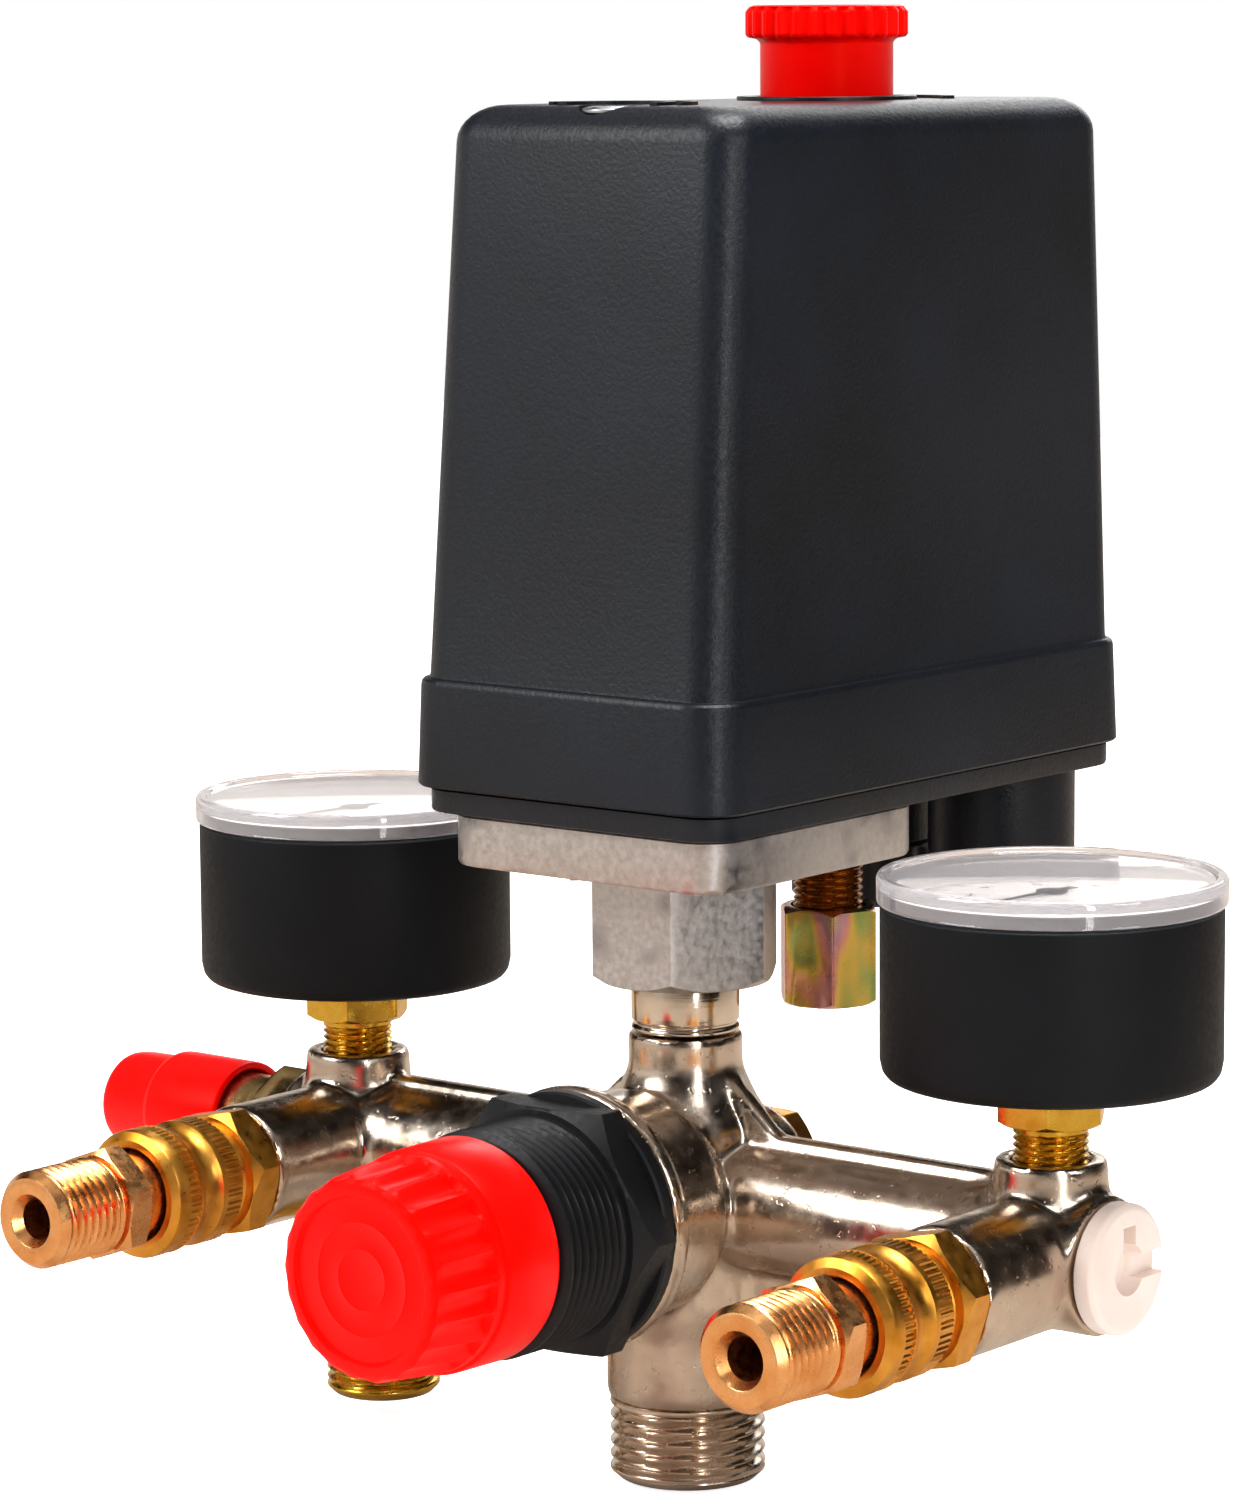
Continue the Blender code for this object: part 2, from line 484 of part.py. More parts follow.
def switch_cover():
    """Moulded cover: a skirt round the base and a tapered hood with rounded edges."""
    skirt_x, foot_x, top_x = COVER_X
    skirt_y, foot_y, top_y = COVER_Y
    low, ledge, high = COVER_Z
    draft = 0.5
    ledge_outline = ((draft - skirt_x, skirt_x - draft), (skirt_y[0] + draft, skirt_y[1] - draft))
    cover = tapered(((-skirt_x, skirt_x), skirt_y), ledge_outline, (low, ledge), "switch_cover",
                    BLACK_ABS, COVER_CORNER_R)
    hood = tapered(((-foot_x, foot_x), foot_y), ((-top_x, top_x), top_y), (ledge - 1, high),
                   corner=COVER_CORNER_R, top_round=COVER_CORNER_R - 1)
    wall = COVER_WALL
    inner_low = ((wall - skirt_x, skirt_x - wall), (skirt_y[0] + wall, skirt_y[1] - wall))
    inner_foot = ((wall - foot_x, foot_x - wall), (foot_y[0] + wall, foot_y[1] - wall))
    inner_top = ((wall - top_x, top_x - wall), (top_y[0] + wall, top_y[1] - wall))
    join(cover, hood)
    cut(cover, tapered(inner_low, inner_low, (low - 1, ledge - 2), corner=COVER_CORNER_R - wall),
        tapered(inner_foot, inner_top, (ledge - 3, high - wall), corner=COVER_CORNER_R - wall,
                top_round=COVER_CORNER_R - 1 - wall),
        rod(9.5, high - 5, high + 2, at=(0, KNOB_Y, 0)),
        rod(2.2, high - 5, high + 2, at=(0, -14, 0), steps=12),
        rod(4.4, high - 1.3, high + 2, at=(0, -14, 0), steps=16))
    screw = [(0, high - 0.1), (3.6, high - 0.1), (4.0, high - 0.4), (4.0, high - 1.0), (1.9, high - 1.0),
             (1.9, 146), (0, 146)]
    turned("cover_screw", screw, STEEL, at=(0, -14, 0), steps=16)
    return cover


def on_off_knob():
    """Pull-on, push-off knob: fluted head, hollow stem and the rod that trips the lever."""
    profile = [(0, KNOB_TOP), (10.4, KNOB_TOP), (11.0, KNOB_TOP - 0.6), (11.0, KNOB_TOP - 3.8),
               (10.6, KNOB_TOP - 4.2), (9.0, KNOB_TOP - 4.4), (9.0, 172), (7.2, 172), (7.2, 188),
               (3.0, 188), (3.0, 114.5), (0, 114.5)]
    return turned("on_off_knob", profile, RED_ABS, at=(0, KNOB_Y, 0), steps=20)


# ---- switch mechanism -------------------------------------------------------------
def chassis():
    """Steel frame: floor, two ears for the lever pin, and a bridge over the range spring."""
    low, high = CHASSIS_Z
    frame = block((-22.3, 22.3), (-21.5, 23), (low, high), "chassis_frame", STEEL, corner=3, segments=2)
    cut(frame, rod(5.6, low - 1, high + 1, steps=16))
    for x in (-SCREW_PITCH, SCREW_PITCH):
        for y in (-SCREW_PITCH, SCREW_PITCH):
            cut(frame, rod(2.2, low - 1, high + 1, at=(x, y, 0), steps=12))
    for side in (-1, 1):
        ear_x = sorted((side * 11.8, side * 13.3))
        leg_x = sorted((side * 14.2, side * 16.2))
        ear = block(ear_x, (-20.5, -13.5), (high - 0.5, 105))
        leg = block(leg_x, (-8, 8), (high - 0.5, 149))
        join(frame, ear, leg)
    bridge = block((-16.2, 16.2), (-18, 8), (148, 150))
    join(frame, bridge)
    return cut(frame, rod(3.3, 146, 152, steps=16), rod(2.2, 146, 152, at=(0, -14, 0), steps=12),
               rod(1.5, -20, 20, at=(0, LEVER_PIN_Y, LEVER_Z + 1), turn=TO_RIGHT, steps=12))


def lever():
    """Lever that the diaphragm lifts against the range spring, with its pin and moving contact."""
    pin_z = LEVER_Z + LEVER_T / 2
    plate = block((-11, 11), (-15.8, 36), (LEVER_Z, LEVER_Z + LEVER_T), "lever_plate", STEEL)
    pin_axis = {"at": (0, LEVER_PIN_Y, pin_z), "turn": TO_RIGHT}
    join(plate, rod(2.3, -11, 11, steps=16, **pin_axis))
    cut(plate, rod(1.5, -12, 12, steps=16, **pin_axis))
    rod(1.2, -14.2, 14.2, steps=12, name="lever_pin", finish=STEEL, **pin_axis)
    strip = block((-9, 9), (36.3, 43), (LEVER_Z + 1, LEVER_Z + LEVER_T), "moving_contact", COPPER)
    return join(strip, block((-8, -5), (40.5, 42.8), (LEVER_Z + 0.6, LEVER_Z + 1.5)),
                block((5, 8), (40.5, 42.8), (LEVER_Z + 0.6, LEVER_Z + 1.5)))


def range_spring_set():
    """Main spring that sets the cut-out pressure, and the bolt that loads it through the bridge."""
    coil("range_spring", LEVER_Z + LEVER_T + GAP, 133.7, 8.4, 1.3, 6, STEEL, lambda x, y, z: (x, y, z))
    bolt = [(0, 160), (2.9, 160), (2.9, 138), (10.6, 137), (10.6, 134), (0, 134)]
    piece = turned("range_bolt", bolt, YELLOW_ZINC, steps=16)
    return join(piece, prism(10, 155, 160))


def contact_set():
    """Moulded contact block with the two fixed contact strips."""
    base = block((-19, 19), (39.6, 47.5), (CHASSIS_Z[0], 99.2), "contact_block", BAKELITE)
    join(base, block((-19, 19), (44.6, 47.5), (98, 113)))
    for label, side in (("left", -1), ("right", 1)):
        span = sorted((side * 4.5, side * 8.5))
        strip = block(span, (40, 44.2), (99.5, 100.5), f"fixed_contact_{label}", COPPER)
        join(strip, rod(1.5, 100.2, 103.5, at=(side * 13, 42.2, 0), steps=12),
             block(sorted((side * 4.5, side * 15)), (40.9, 43.6), (99.6, 100.4)))


def unloader():
    """Unloader valve under the base: brass body, pin and compression nut."""
    here = {"at": (0, KNOB_Y, 0)}
    body = [(1.9, 98), (6.6, 98), (6.6, 95), (4.85, 95), (4.85, 64), (3.1, 64), (3.1, 86), (1.9, 86)]
    turned("unloader_body", body, BRASS, ring=True, **here)
    pin = [(0, 100), (1.5, 100), (1.5, 84), (0, 84)]
    turned("unloader_pin", pin, STEEL, steps=12, **here)
    nut = prism(12.6, 60, 73.6, name="unloader_nut", finish=YELLOW_ZINC, **here)
    return cut(nut, rod(5.2, 62, 75, **here), rod(3.2, 59, 63, **here))


def main():
    manifold_body()
    lower_nipple()
    blanking_plug()
    safety_valve()
    regulator()
    for label, side in (("left", -1), ("right", 1)):
        gauge(label, side)
        coupler(label, side)
    switch_mounting()
    switch_base()
    switch_cover()
    on_off_knob()
    chassis()
    lever()
    range_spring_set()
    contact_set()
    unloader()


main()
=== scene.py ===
# %% [markdown]
# # An air-compressor pressure switch, dressed for the studio
# The imported model gives every part its true size, place and movement. This lesson puts a
# finished surface on each part that shows: moulded covers, a nickel-plated casting, turned
# brass fittings and two small gauges. It loads the model first, because every later size
# is read from it.

# %% Load the imported model
import json
import math

import bpy
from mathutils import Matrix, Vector


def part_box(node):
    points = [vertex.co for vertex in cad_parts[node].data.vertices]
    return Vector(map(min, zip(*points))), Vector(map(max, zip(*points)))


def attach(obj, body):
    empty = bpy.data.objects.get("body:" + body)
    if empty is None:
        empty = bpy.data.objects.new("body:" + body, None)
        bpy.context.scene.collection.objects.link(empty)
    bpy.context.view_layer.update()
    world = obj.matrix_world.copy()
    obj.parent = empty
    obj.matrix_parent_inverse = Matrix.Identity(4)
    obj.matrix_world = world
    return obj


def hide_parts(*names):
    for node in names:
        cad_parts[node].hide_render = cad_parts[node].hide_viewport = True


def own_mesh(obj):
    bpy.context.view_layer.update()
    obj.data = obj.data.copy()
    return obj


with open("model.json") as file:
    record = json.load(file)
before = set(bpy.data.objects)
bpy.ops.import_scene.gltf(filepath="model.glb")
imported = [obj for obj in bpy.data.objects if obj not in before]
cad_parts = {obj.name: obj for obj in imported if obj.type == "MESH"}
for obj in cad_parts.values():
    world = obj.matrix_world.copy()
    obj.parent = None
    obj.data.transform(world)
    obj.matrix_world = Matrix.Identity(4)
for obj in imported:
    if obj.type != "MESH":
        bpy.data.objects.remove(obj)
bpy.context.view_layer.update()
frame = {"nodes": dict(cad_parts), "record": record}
MM = 0.001


def middle(node):
    """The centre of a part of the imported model, in millimetres."""
    low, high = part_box(node)
    return (low + high) / 2 / MM


def ends(node, axis):
    """Where a part starts and stops along one axis, in millimetres."""
    low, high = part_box(node)
    return low[axis] / MM, high[axis] / MM


X, Y, Z = 0, 1, 2
BAR_Z = middle("coupler_nipple_right").z
PORT_X = middle("gauge_case_right").x
REGULATOR_Z = middle("regulator_knob").z
KNOB_Y = middle("on_off_knob").y
print("bar height", round(BAR_Z, 2), "port spacing", round(PORT_X, 2), "mm")

# %% [markdown]
# ## The camera
# A product is best seen through a long lens from far away, so that the parallel edges of
# the housing stay nearly parallel. The camera stands to the front right, a little above the
# manifold, and looks slightly down, which keeps the front, the side and the gauges in view.

# %% Place the camera
CAMERA_TURN = math.radians(38.99)    # round the object, from straight in front
CAMERA_DIP = math.radians(8.03)      # below the horizon
CAMERA_ROLL = math.radians(0.43)
CAMERA_SPOT = (0.4187, -0.5299, 0.1941)
LONG_LENS = 123.2                    # millimetres, on a 36 mm sensor
bpy.ops.object.select_all(action="DESELECT")
bpy.ops.object.camera_add(location=CAMERA_SPOT,
                          rotation=(math.pi / 2 - CAMERA_DIP, CAMERA_ROLL, CAMERA_TURN))
camera = bpy.context.object
camera.data.lens = LONG_LENS
camera.data.clip_start, camera.data.clip_end = 0.05, 20.0
bpy.context.scene.camera = camera
print("camera at", tuple(round(v, 3) for v in camera.location))

# %% [markdown]
# ## Colours and nodes
# Paint charts and screens give colours as sRGB hex values, but a renderer calculates with
# linear light, so one function converts them. A second small function adds a node, sets its
# values and links its inputs. It keeps each material below down to a short list of steps.


# %% Colour and node helpers
def colour(code):
    """A linear RGBA colour from an sRGB hex value."""
    parts = [int(code[i:i + 2], 16) / 255 for i in (1, 3, 5)]
    return (*[p / 12.92 if p <= 0.04045 else ((p + 0.055) / 1.055) ** 2.4 for p in parts], 1.0)


def add(tree, kind, values=None, links=None):
    """Adds a node, sets its inputs or properties, links its inputs, and returns its outputs."""
    made = tree.nodes.new(kind)
    for key, value in (values or {}).items():
        if key == "stops":
            ramp = made.color_ramp
            while len(ramp.elements) < len(value):
                ramp.elements.new(0.5)
            for stop, (position, code) in zip(ramp.elements, value):
                stop.position, stop.color = position, colour(code)
        elif isinstance(key, int) or key in made.inputs:
            made.inputs[key].default_value = value
        else:
            setattr(made, key, value)
    for key, socket in (links or {}).items():
        if socket is not None:
            tree.links.new(socket, made.inputs[key])
    return made.outputs


def start_material(name, slot, values):
    """A new material with a Principled shader, and the Object coordinates its patterns read."""
    made = bpy.data.materials.new(name)
    made.use_nodes = True
    made["slot"] = slot
    tree = made.node_tree
    shader = tree.nodes["Principled BSDF"]
    for key, value in values.items():
        shader.inputs[key].default_value = value
    return made, tree, shader, add(tree, "ShaderNodeTexCoord")["Object"]


def drive(tree, shader, patterns):
    """Links patterns into the inputs of a shader."""
    for key, socket in patterns.items():
        if socket is not None:
            tree.links.new(socket, shader.inputs[key])


# A noise seldom leaves the middle of its range, so that middle is stretched to the whole
STRETCH = {"From Min": 0.3, "From Max": 0.7}
print("helpers ready; mid grey is", round(colour("#808080")[0], 3), "in linear light")

# %% [markdown]
# ## Moulded plastics
# The cover and base are black ABS, pressed against a spark-eroded steel mould, so the skin
# has a fine pebble grain and soft, broad highlights. The red knobs come from a smoother
# mould. Each is one noise for the grain and a larger, weaker one for the slight unevenness
# of a moulded wall, because a single flat colour never looks like a real material.


# %% Plastic materials
def moulded(name, slot, dark, light, rough, grain_mm, grain_depth, patch_mm=14.0, values=None):
    """An injection-moulded plastic: pebble grain over a faintly uneven wall."""
    made, tree, shader, place = start_material(name, slot, {"IOR": 1.5, "Specular IOR Level": 0.3,
                                                            **(values or {})})
    patch, grain = (add(tree, "ShaderNodeTexNoise", {"Scale": 1 / (size * MM), "Detail": 3.0},
                        {"Vector": place})["Fac"] for size in (patch_mm, grain_mm))
    share = add(tree, "ShaderNodeMapRange", STRETCH, {"Value": patch})["Result"]
    tint = add(tree, "ShaderNodeMix", {"data_type": "RGBA", 6: colour(dark), 7: colour(light)},
               {0: share})[2]
    blur = add(tree, "ShaderNodeMapRange", {**STRETCH, "To Min": rough[0], "To Max": rough[1]},
               {"Value": grain})["Result"]
    normal = None
    for height in (patch, grain):
        normal = add(tree, "ShaderNodeBump", {"Distance": grain_depth * MM, "Strength": 1.0},
                     {"Height": height, "Normal": normal})["Normal"]
    drive(tree, shader, {"Base Color": tint, "Roughness": blur, "Normal": normal})
    return made


# ABS, injection-moulded on a spark-eroded tool: charcoal, with a matt grain of about 0.4 mm
black_abs = moulded("spark_textured_black_abs", "black_abs", "#0c0f14", "#131820", (0.30, 0.46),
                    0.55, 0.06, patch_mm=30.0)
# ABS from a polished tool: saturated red, semi-gloss, with only a faint orange peel
red_abs = moulded("polished_red_abs", "red_abs", "#f00300", "#fe0602", (0.28, 0.38), 2.5, 0.004,
                  values={"Specular IOR Level": 0.25, "Specular Tint": colour("#ff5a46")})
# Glass-filled nylon: near black, drier than ABS, with a slightly fibrous grain
black_nylon = moulded("glass_filled_black_nylon", "black_nylon", "#0e0f11", "#17181b",
                      (0.36, 0.52), 0.7, 0.020)
# Natural nylon: off-white and a little see-through, so light bleeds into it
white_nylon = moulded("natural_nylon", "white_nylon", "#dcc8bb", "#ecdbd0", (0.38, 0.50), 1.2,
                      0.015, values={"Subsurface Weight": 0.35, "Subsurface Scale": 1.5,
                                     "Subsurface Radius": (0.001, 0.0007, 0.0005)})
# Phenolic moulding for the contact block: brown, hard and slightly glossy
bakelite = moulded("brown_phenolic", "bakelite", "#2a140a", "#3d2012", (0.30, 0.42), 0.8, 0.010)
# Nitrile rubber for the diaphragms: black and dry
rubber = moulded("nitrile_rubber", "rubber", "#131313", "#1d1c1b", (0.70, 0.85), 0.5, 0.020,
                 values={"Sheen Weight": 0.1})
# Stoved matt black enamel on the drawn steel gauge cases
black_paint = moulded("stoved_black_enamel", "black_paint", "#07090c", "#0d1014", (0.46, 0.58),
                      0.8, 0.012, patch_mm=20.0, values={"Specular IOR Level": 0.16})
# White enamel on the dials
white_paint = moulded("white_dial_enamel", "white_paint", "#e6e4e0", "#f2f0ec", (0.35, 0.45), 1.0,
                      0.004)
print("plastics and paints:", 8)

# %% [markdown]
# ## Metals
# Bare metal has almost no colour of its own: what shows is the room, tinted and blurred by
# the surface. So each metal needs the right tint, the right blur, and the marks its maker
# left. The casting keeps a slight waviness and pits under its plating, turned brass has fine
# rings round its axis, and raw zinc is mottled grey. The rings are a noise that is squeezed
# along the axis of turning, so that it changes quickly along the part and hardly across it.


# %% Metal materials
def metal(name, slot, dark, light, rough, patch_mm, wave=None, rings=None, pits=None):
    """A metal. wave, rings and pits are (size, depth) in mm; rings starts with its axis."""
    made, tree, shader, place = start_material(name, slot, {"Metallic": 1.0})
    patch = add(tree, "ShaderNodeTexNoise", {"Scale": 1 / (patch_mm * MM), "Detail": 4.0},
                {"Vector": place})["Fac"]
    share = add(tree, "ShaderNodeMapRange", STRETCH, {"Value": patch})["Result"]
    tint = add(tree, "ShaderNodeMix", {"data_type": "RGBA", 6: colour(dark), 7: colour(light)},
               {0: share})[2]
    aside = add(tree, "ShaderNodeMapping", {"Location": (0.3, 0.3, 0.3)},
                {"Vector": place})["Vector"]
    haze = add(tree, "ShaderNodeTexNoise", {"Scale": 1 / (patch_mm / 3 * MM), "Detail": 3.0},
               {"Vector": aside})["Fac"]
    blur = add(tree, "ShaderNodeMapRange", {**STRETCH, "To Min": rough[0], "To Max": rough[1]},
               {"Value": haze})["Result"]
    bumps = []
    if wave:
        bumps.append((add(tree, "ShaderNodeTexNoise", {"Scale": 1 / (wave[0] * MM), "Detail": 1.0},
                          {"Vector": place})["Fac"], wave[1]))
    if rings:
        along, size, depth = rings
        squeeze = [0.02, 0.02, 0.02]
        squeeze[along] = 1.0
        turned = add(tree, "ShaderNodeMapping", {"Scale": squeeze}, {"Vector": place})["Vector"]
        bumps.append((add(tree, "ShaderNodeTexNoise", {"Scale": 1 / (size * MM), "Detail": 2.0},
                          {"Vector": turned})["Fac"], depth))
    if pits:
        far = add(tree, "ShaderNodeMapping", {"Location": (0.7, 0.7, 0.7)},
                  {"Vector": place})["Vector"]
        specks = add(tree, "ShaderNodeTexNoise", {"Scale": 1 / (pits[0] * MM), "Detail": 2.0},
                     {"Vector": far})["Fac"]
        bumps.append((add(tree, "ShaderNodeMapRange", {"From Min": 0.28, "From Max": 0.36},
                          {"Value": specks})["Result"], pits[1]))
    normal = None
    for height, depth in bumps:
        normal = add(tree, "ShaderNodeBump", {"Distance": depth * MM, "Strength": 1.0},
                     {"Height": height, "Normal": normal})["Normal"]
    drive(tree, shader, {"Base Color": tint, "Roughness": blur, "Normal": normal})
    return made


# Nickel plate over die-cast zinc: warm silver, bright but faintly wavy, with a few pits
nickel = metal("nickel_plated_die_casting", "nickel", "#c4b2a0", "#dccdbd", (0.15, 0.30), 7.0,
               wave=(4.0, 0.10), pits=(1.1, 0.03))
# The same plating on a turned nipple
turned_nickel = metal("nickel_plated_nipple", "nickel", "#c9bba8", "#dccfbf", (0.10, 0.20), 5.0,
                      rings=(Z, 0.35, 0.010))
# Free-cutting brass, turned along Y: golden orange with rings 0.3 mm apart
brass_y = metal("turned_brass_fitting", "brass", "#d68f2c", "#f2b04e", (0.26, 0.40), 4.0,
                rings=(Y, 0.3, 0.004))
# The plugs of the couplers are a paler, more coppery brass
pale_brass_y = metal("turned_brass_plug", "brass", "#e59a58", "#fabd80", (0.20, 0.34), 4.0,
                     rings=(Y, 0.3, 0.004))
# Yellow brass of the gauge connections and the lower nipple, turned along Z
brass_z = metal("turned_yellow_brass", "brass", "#c99a2e", "#e2b74c", (0.18, 0.32), 4.0,
                rings=(Z, 0.3, 0.004))
# Brass of the relief valve, turned along X
brass_x = metal("turned_brass_valve", "brass", "#c9a56a", "#e0c48c", (0.18, 0.30), 4.0,
                rings=(X, 0.3, 0.004))
# Old brass of the unloader body: coppery brown from the plating bath
brown_brass = metal("browned_brass", "brass", "#8a5420", "#b3742e", (0.22, 0.36), 2.5,
                    rings=(Z, 0.25, 0.012))
# Zinc-plated steel of springs, screws and pressed frames
steel = metal("zinc_plated_steel", "steel", "#a7abb0", "#c3c6ca", (0.25, 0.42), 3.0,
              wave=(1.5, 0.010))
# Bare copper of the contacts and the Bourdon tube
copper = metal("rolled_copper", "copper", "#b4683f", "#d08a5e", (0.22, 0.36), 3.0,
               wave=(1.2, 0.006))


def cast_zinc_material():
    """Raw die-cast zinc: dull, grainy and blotched where the mould release has darkened it."""
    made, tree, shader, place = start_material("raw_die_cast_zinc", "cast_zinc", {"Metallic": 1.0})
    broad, speck, swell = (
        add(tree, "ShaderNodeTexNoise", {"Scale": 1 / (size * MM), "Detail": detail},
            {"Vector": place})["Fac"] for size, detail in ((11.0, 2.0), (0.9, 3.0), (6.0, 1.0)))
    grain = add(tree, "ShaderNodeMapRange", STRETCH, {"Value": speck})["Result"]
    base = add(tree, "ShaderNodeMix", {"data_type": "RGBA", 6: colour("#b3b0b0"),
                                       7: colour("#cfcccb")}, {0: grain})[2]
    blotch = add(tree, "ShaderNodeMapRange", {"From Min": 0.56, "From Max": 0.68},
                 {"Value": broad})["Result"]
    strength = add(tree, "ShaderNodeMapRange", {"From Min": 0.35, "From Max": 0.6, "To Min": 0.3,
                                                "To Max": 0.8}, {"Value": speck})["Result"]
    gate = add(tree, "ShaderNodeMath", {"operation": "MULTIPLY"}, {0: blotch, 1: strength})[0]
    tint = add(tree, "ShaderNodeMix", {"data_type": "RGBA", 7: colour("#6b6c74")},
               {0: gate, 6: base})[2]
    blur = add(tree, "ShaderNodeMapRange", {**STRETCH, "To Min": 0.34, "To Max": 0.52},
               {"Value": speck})["Result"]
    normal = None
    for height, depth in ((speck, 0.05), (swell, 0.12)):
        normal = add(tree, "ShaderNodeBump", {"Distance": depth * MM, "Strength": 1.0},
                     {"Height": height, "Normal": normal})["Normal"]
    drive(tree, shader, {"Base Color": tint, "Roughness": blur, "Normal": normal})
    return made


def yellow_zinc_material():
    """Yellow chromate over zinc: a film so thin that it shows green, pink and gold by turns."""
    made, tree, shader, place = start_material("yellow_passivated_steel", "yellow_zinc",
                                               {"Metallic": 1.0})
    tall = add(tree, "ShaderNodeMapping", {"Scale": (1, 1, 0.5)}, {"Vector": place})["Vector"]
    film = add(tree, "ShaderNodeTexNoise", {"Scale": 1 / (7.0 * MM), "Detail": 1.5},
               {"Vector": tall})["Fac"]
    bands = add(tree, "ShaderNodeValToRGB", {"stops": [
        (0.28, "#b8a24a"), (0.40, "#8fa05c"), (0.48, "#c9ab52"), (0.55, "#c98a7c"),
        (0.62, "#b58a9c"), (0.74, "#d4bf62")]}, {"Fac": film})["Color"]
    haze = add(tree, "ShaderNodeTexNoise", {"Scale": 1 / (2.0 * MM), "Detail": 2.0},
               {"Vector": place})["Fac"]
    blur = add(tree, "ShaderNodeMapRange", {**STRETCH, "To Min": 0.16, "To Max": 0.30},
               {"Value": haze})["Result"]
    drive(tree, shader, {"Base Color": bands, "Roughness": blur})
    return made


cast_zinc = cast_zinc_material()
yellow_zinc = yellow_zinc_material()
print("metals:", len([m for m in bpy.data.materials if m.get("slot") and m.use_nodes]))

# %% [markdown]
# ## Clear plastic
# The gauge windows are moulded polycarbonate. Glass in a renderer also blocks the lamps that
# should light the dial under it, and waiting for light to find its way through takes very
# many samples. So the window is true clear plastic to the eye, and its object casts no
# shadow, which lets the lamps reach the dial.


# %% Clear material
def clear_material():
    """Moulded polycarbonate, slightly hazy on its rim from handling."""
    made, tree, shader, place = start_material("clear_polycarbonate", "clear_lens", {
        "IOR": 1.58, "Transmission Weight": 0.9, "Base Color": colour("#f1edee")})
    haze = add(tree, "ShaderNodeTexNoise", {"Scale": 1 / (3.0 * MM), "Detail": 2.0},
               {"Vector": place})["Fac"]
    blur = add(tree, "ShaderNodeMapRange", {**STRETCH, "To Min": 0.02, "To Max": 0.07},
               {"Value": haze})["Result"]
    drive(tree, shader, {"Roughness": blur})
    return made


clear_lens = clear_material()
print("clear plastic IOR", 1.58)

# %% [markdown]
# ## Shaping helpers
# Most of this object was turned on a lathe or moulded round an axis, and Blender can work the
# same way. A plane is merged to one point, the point is extruded along the half outline of
# the part, and the outline is spun once round. Corners of an outline are softened first,
# because no real edge is perfectly sharp, and it is the tiny roundings that catch the light.
# Outlines are in millimetres as (radius, height); the finished part is turned and moved to
# its place, and that is applied, so each object ends at the origin with its place in its mesh.

# %% Selecting, placing and finishing
UP = (0, 0, 0)
TO_FRONT = (math.pi / 2, 0, 0)       # the part's own up becomes -Y
TO_LEFT = (0, -math.pi / 2, 0)       # its up becomes -X
TO_RIGHT = (0, math.pi / 2, 0)       # its up becomes +X
MERGE = 2e-6


def alone(*pieces):
    """Selects these pieces and nothing else, with the first one active."""
    bpy.ops.object.select_all(action="DESELECT")
    for piece in pieces:
        piece.select_set(True)
    bpy.context.view_layer.objects.active = pieces[0]


def place(piece, turn=UP, at=(0, 0, 0)):
    """Turns and moves a piece, then applies that to its mesh."""
    alone(piece)
    piece.rotation_euler = turn
    piece.location = Vector(at) * MM
    settle()
    return piece


def newest(name):
    """The piece that was just added, given its name."""
    piece = bpy.context.object
    piece.name = piece.data.name = name
    return piece


def settle():
    """Applies the place, turn and size of the selected piece to its mesh."""
    bpy.ops.object.transform_apply(location=True, rotation=True, scale=True)


def edit_all():
    """Opens the active piece in edit mode, with its whole mesh selected."""
    bpy.ops.object.mode_set(mode="EDIT")
    bpy.ops.mesh.select_all(action="SELECT")


def face_outwards():
    """Turns every face of the mesh outwards and leaves edit mode."""
    bpy.ops.mesh.select_all(action="SELECT")
    bpy.ops.mesh.normals_make_consistent(inside=False)
    bpy.ops.object.mode_set(mode="OBJECT")


def modify(piece, kind, **values):
    """Adds a modifier to a piece, sets its values and applies it."""
    alone(piece)
    bpy.ops.object.modifier_add(type=kind)
    step = piece.modifiers[-1]
    for key, value in values.items():
        setattr(step, key, value)
    bpy.ops.object.modifier_apply(modifier=step.name)
    return piece


def combine(piece, operation, *tools):
    """Joins tools to a piece (UNION), cuts them from it (DIFFERENCE) or keeps what they share."""
    for tool in tools:
        modify(piece, "BOOLEAN", operation=operation, solver="EXACT", object=tool)
        bpy.data.objects.remove(tool)
    return piece


def show(piece, material, body, *nodes, angle=35.0):
    """Finishes a piece: smooth shading, material, the body it moves with, and what it replaces."""
    alone(piece)
    bpy.ops.object.shade_smooth_by_angle(angle=math.radians(angle))
    piece.data.materials.clear()
    piece.data.materials.append(material)
    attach(piece, body)
    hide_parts(*nodes)
    faces = sum(len(p.vertices) - 2 for p in piece.data.polygons)
    sides = {}
    for polygon in piece.data.polygons:
        for key in polygon.edge_keys:
            sides[key] = sides.get(key, 0) + 1
    loose = sum(1 for count in sides.values() if count != 2)
    print(f"{piece.name}: {faces} triangles, {loose} open edges, rides on {body}")
    return piece


# %% [markdown]
# ### The lathe
# Turning needs a few tools of its own: one rounds the corners of an outline, one spins it,
# and one moves points of the finished part in or out. A thread or a knurl is then a short
# rule that says how deep the groove is at a given angle and height.

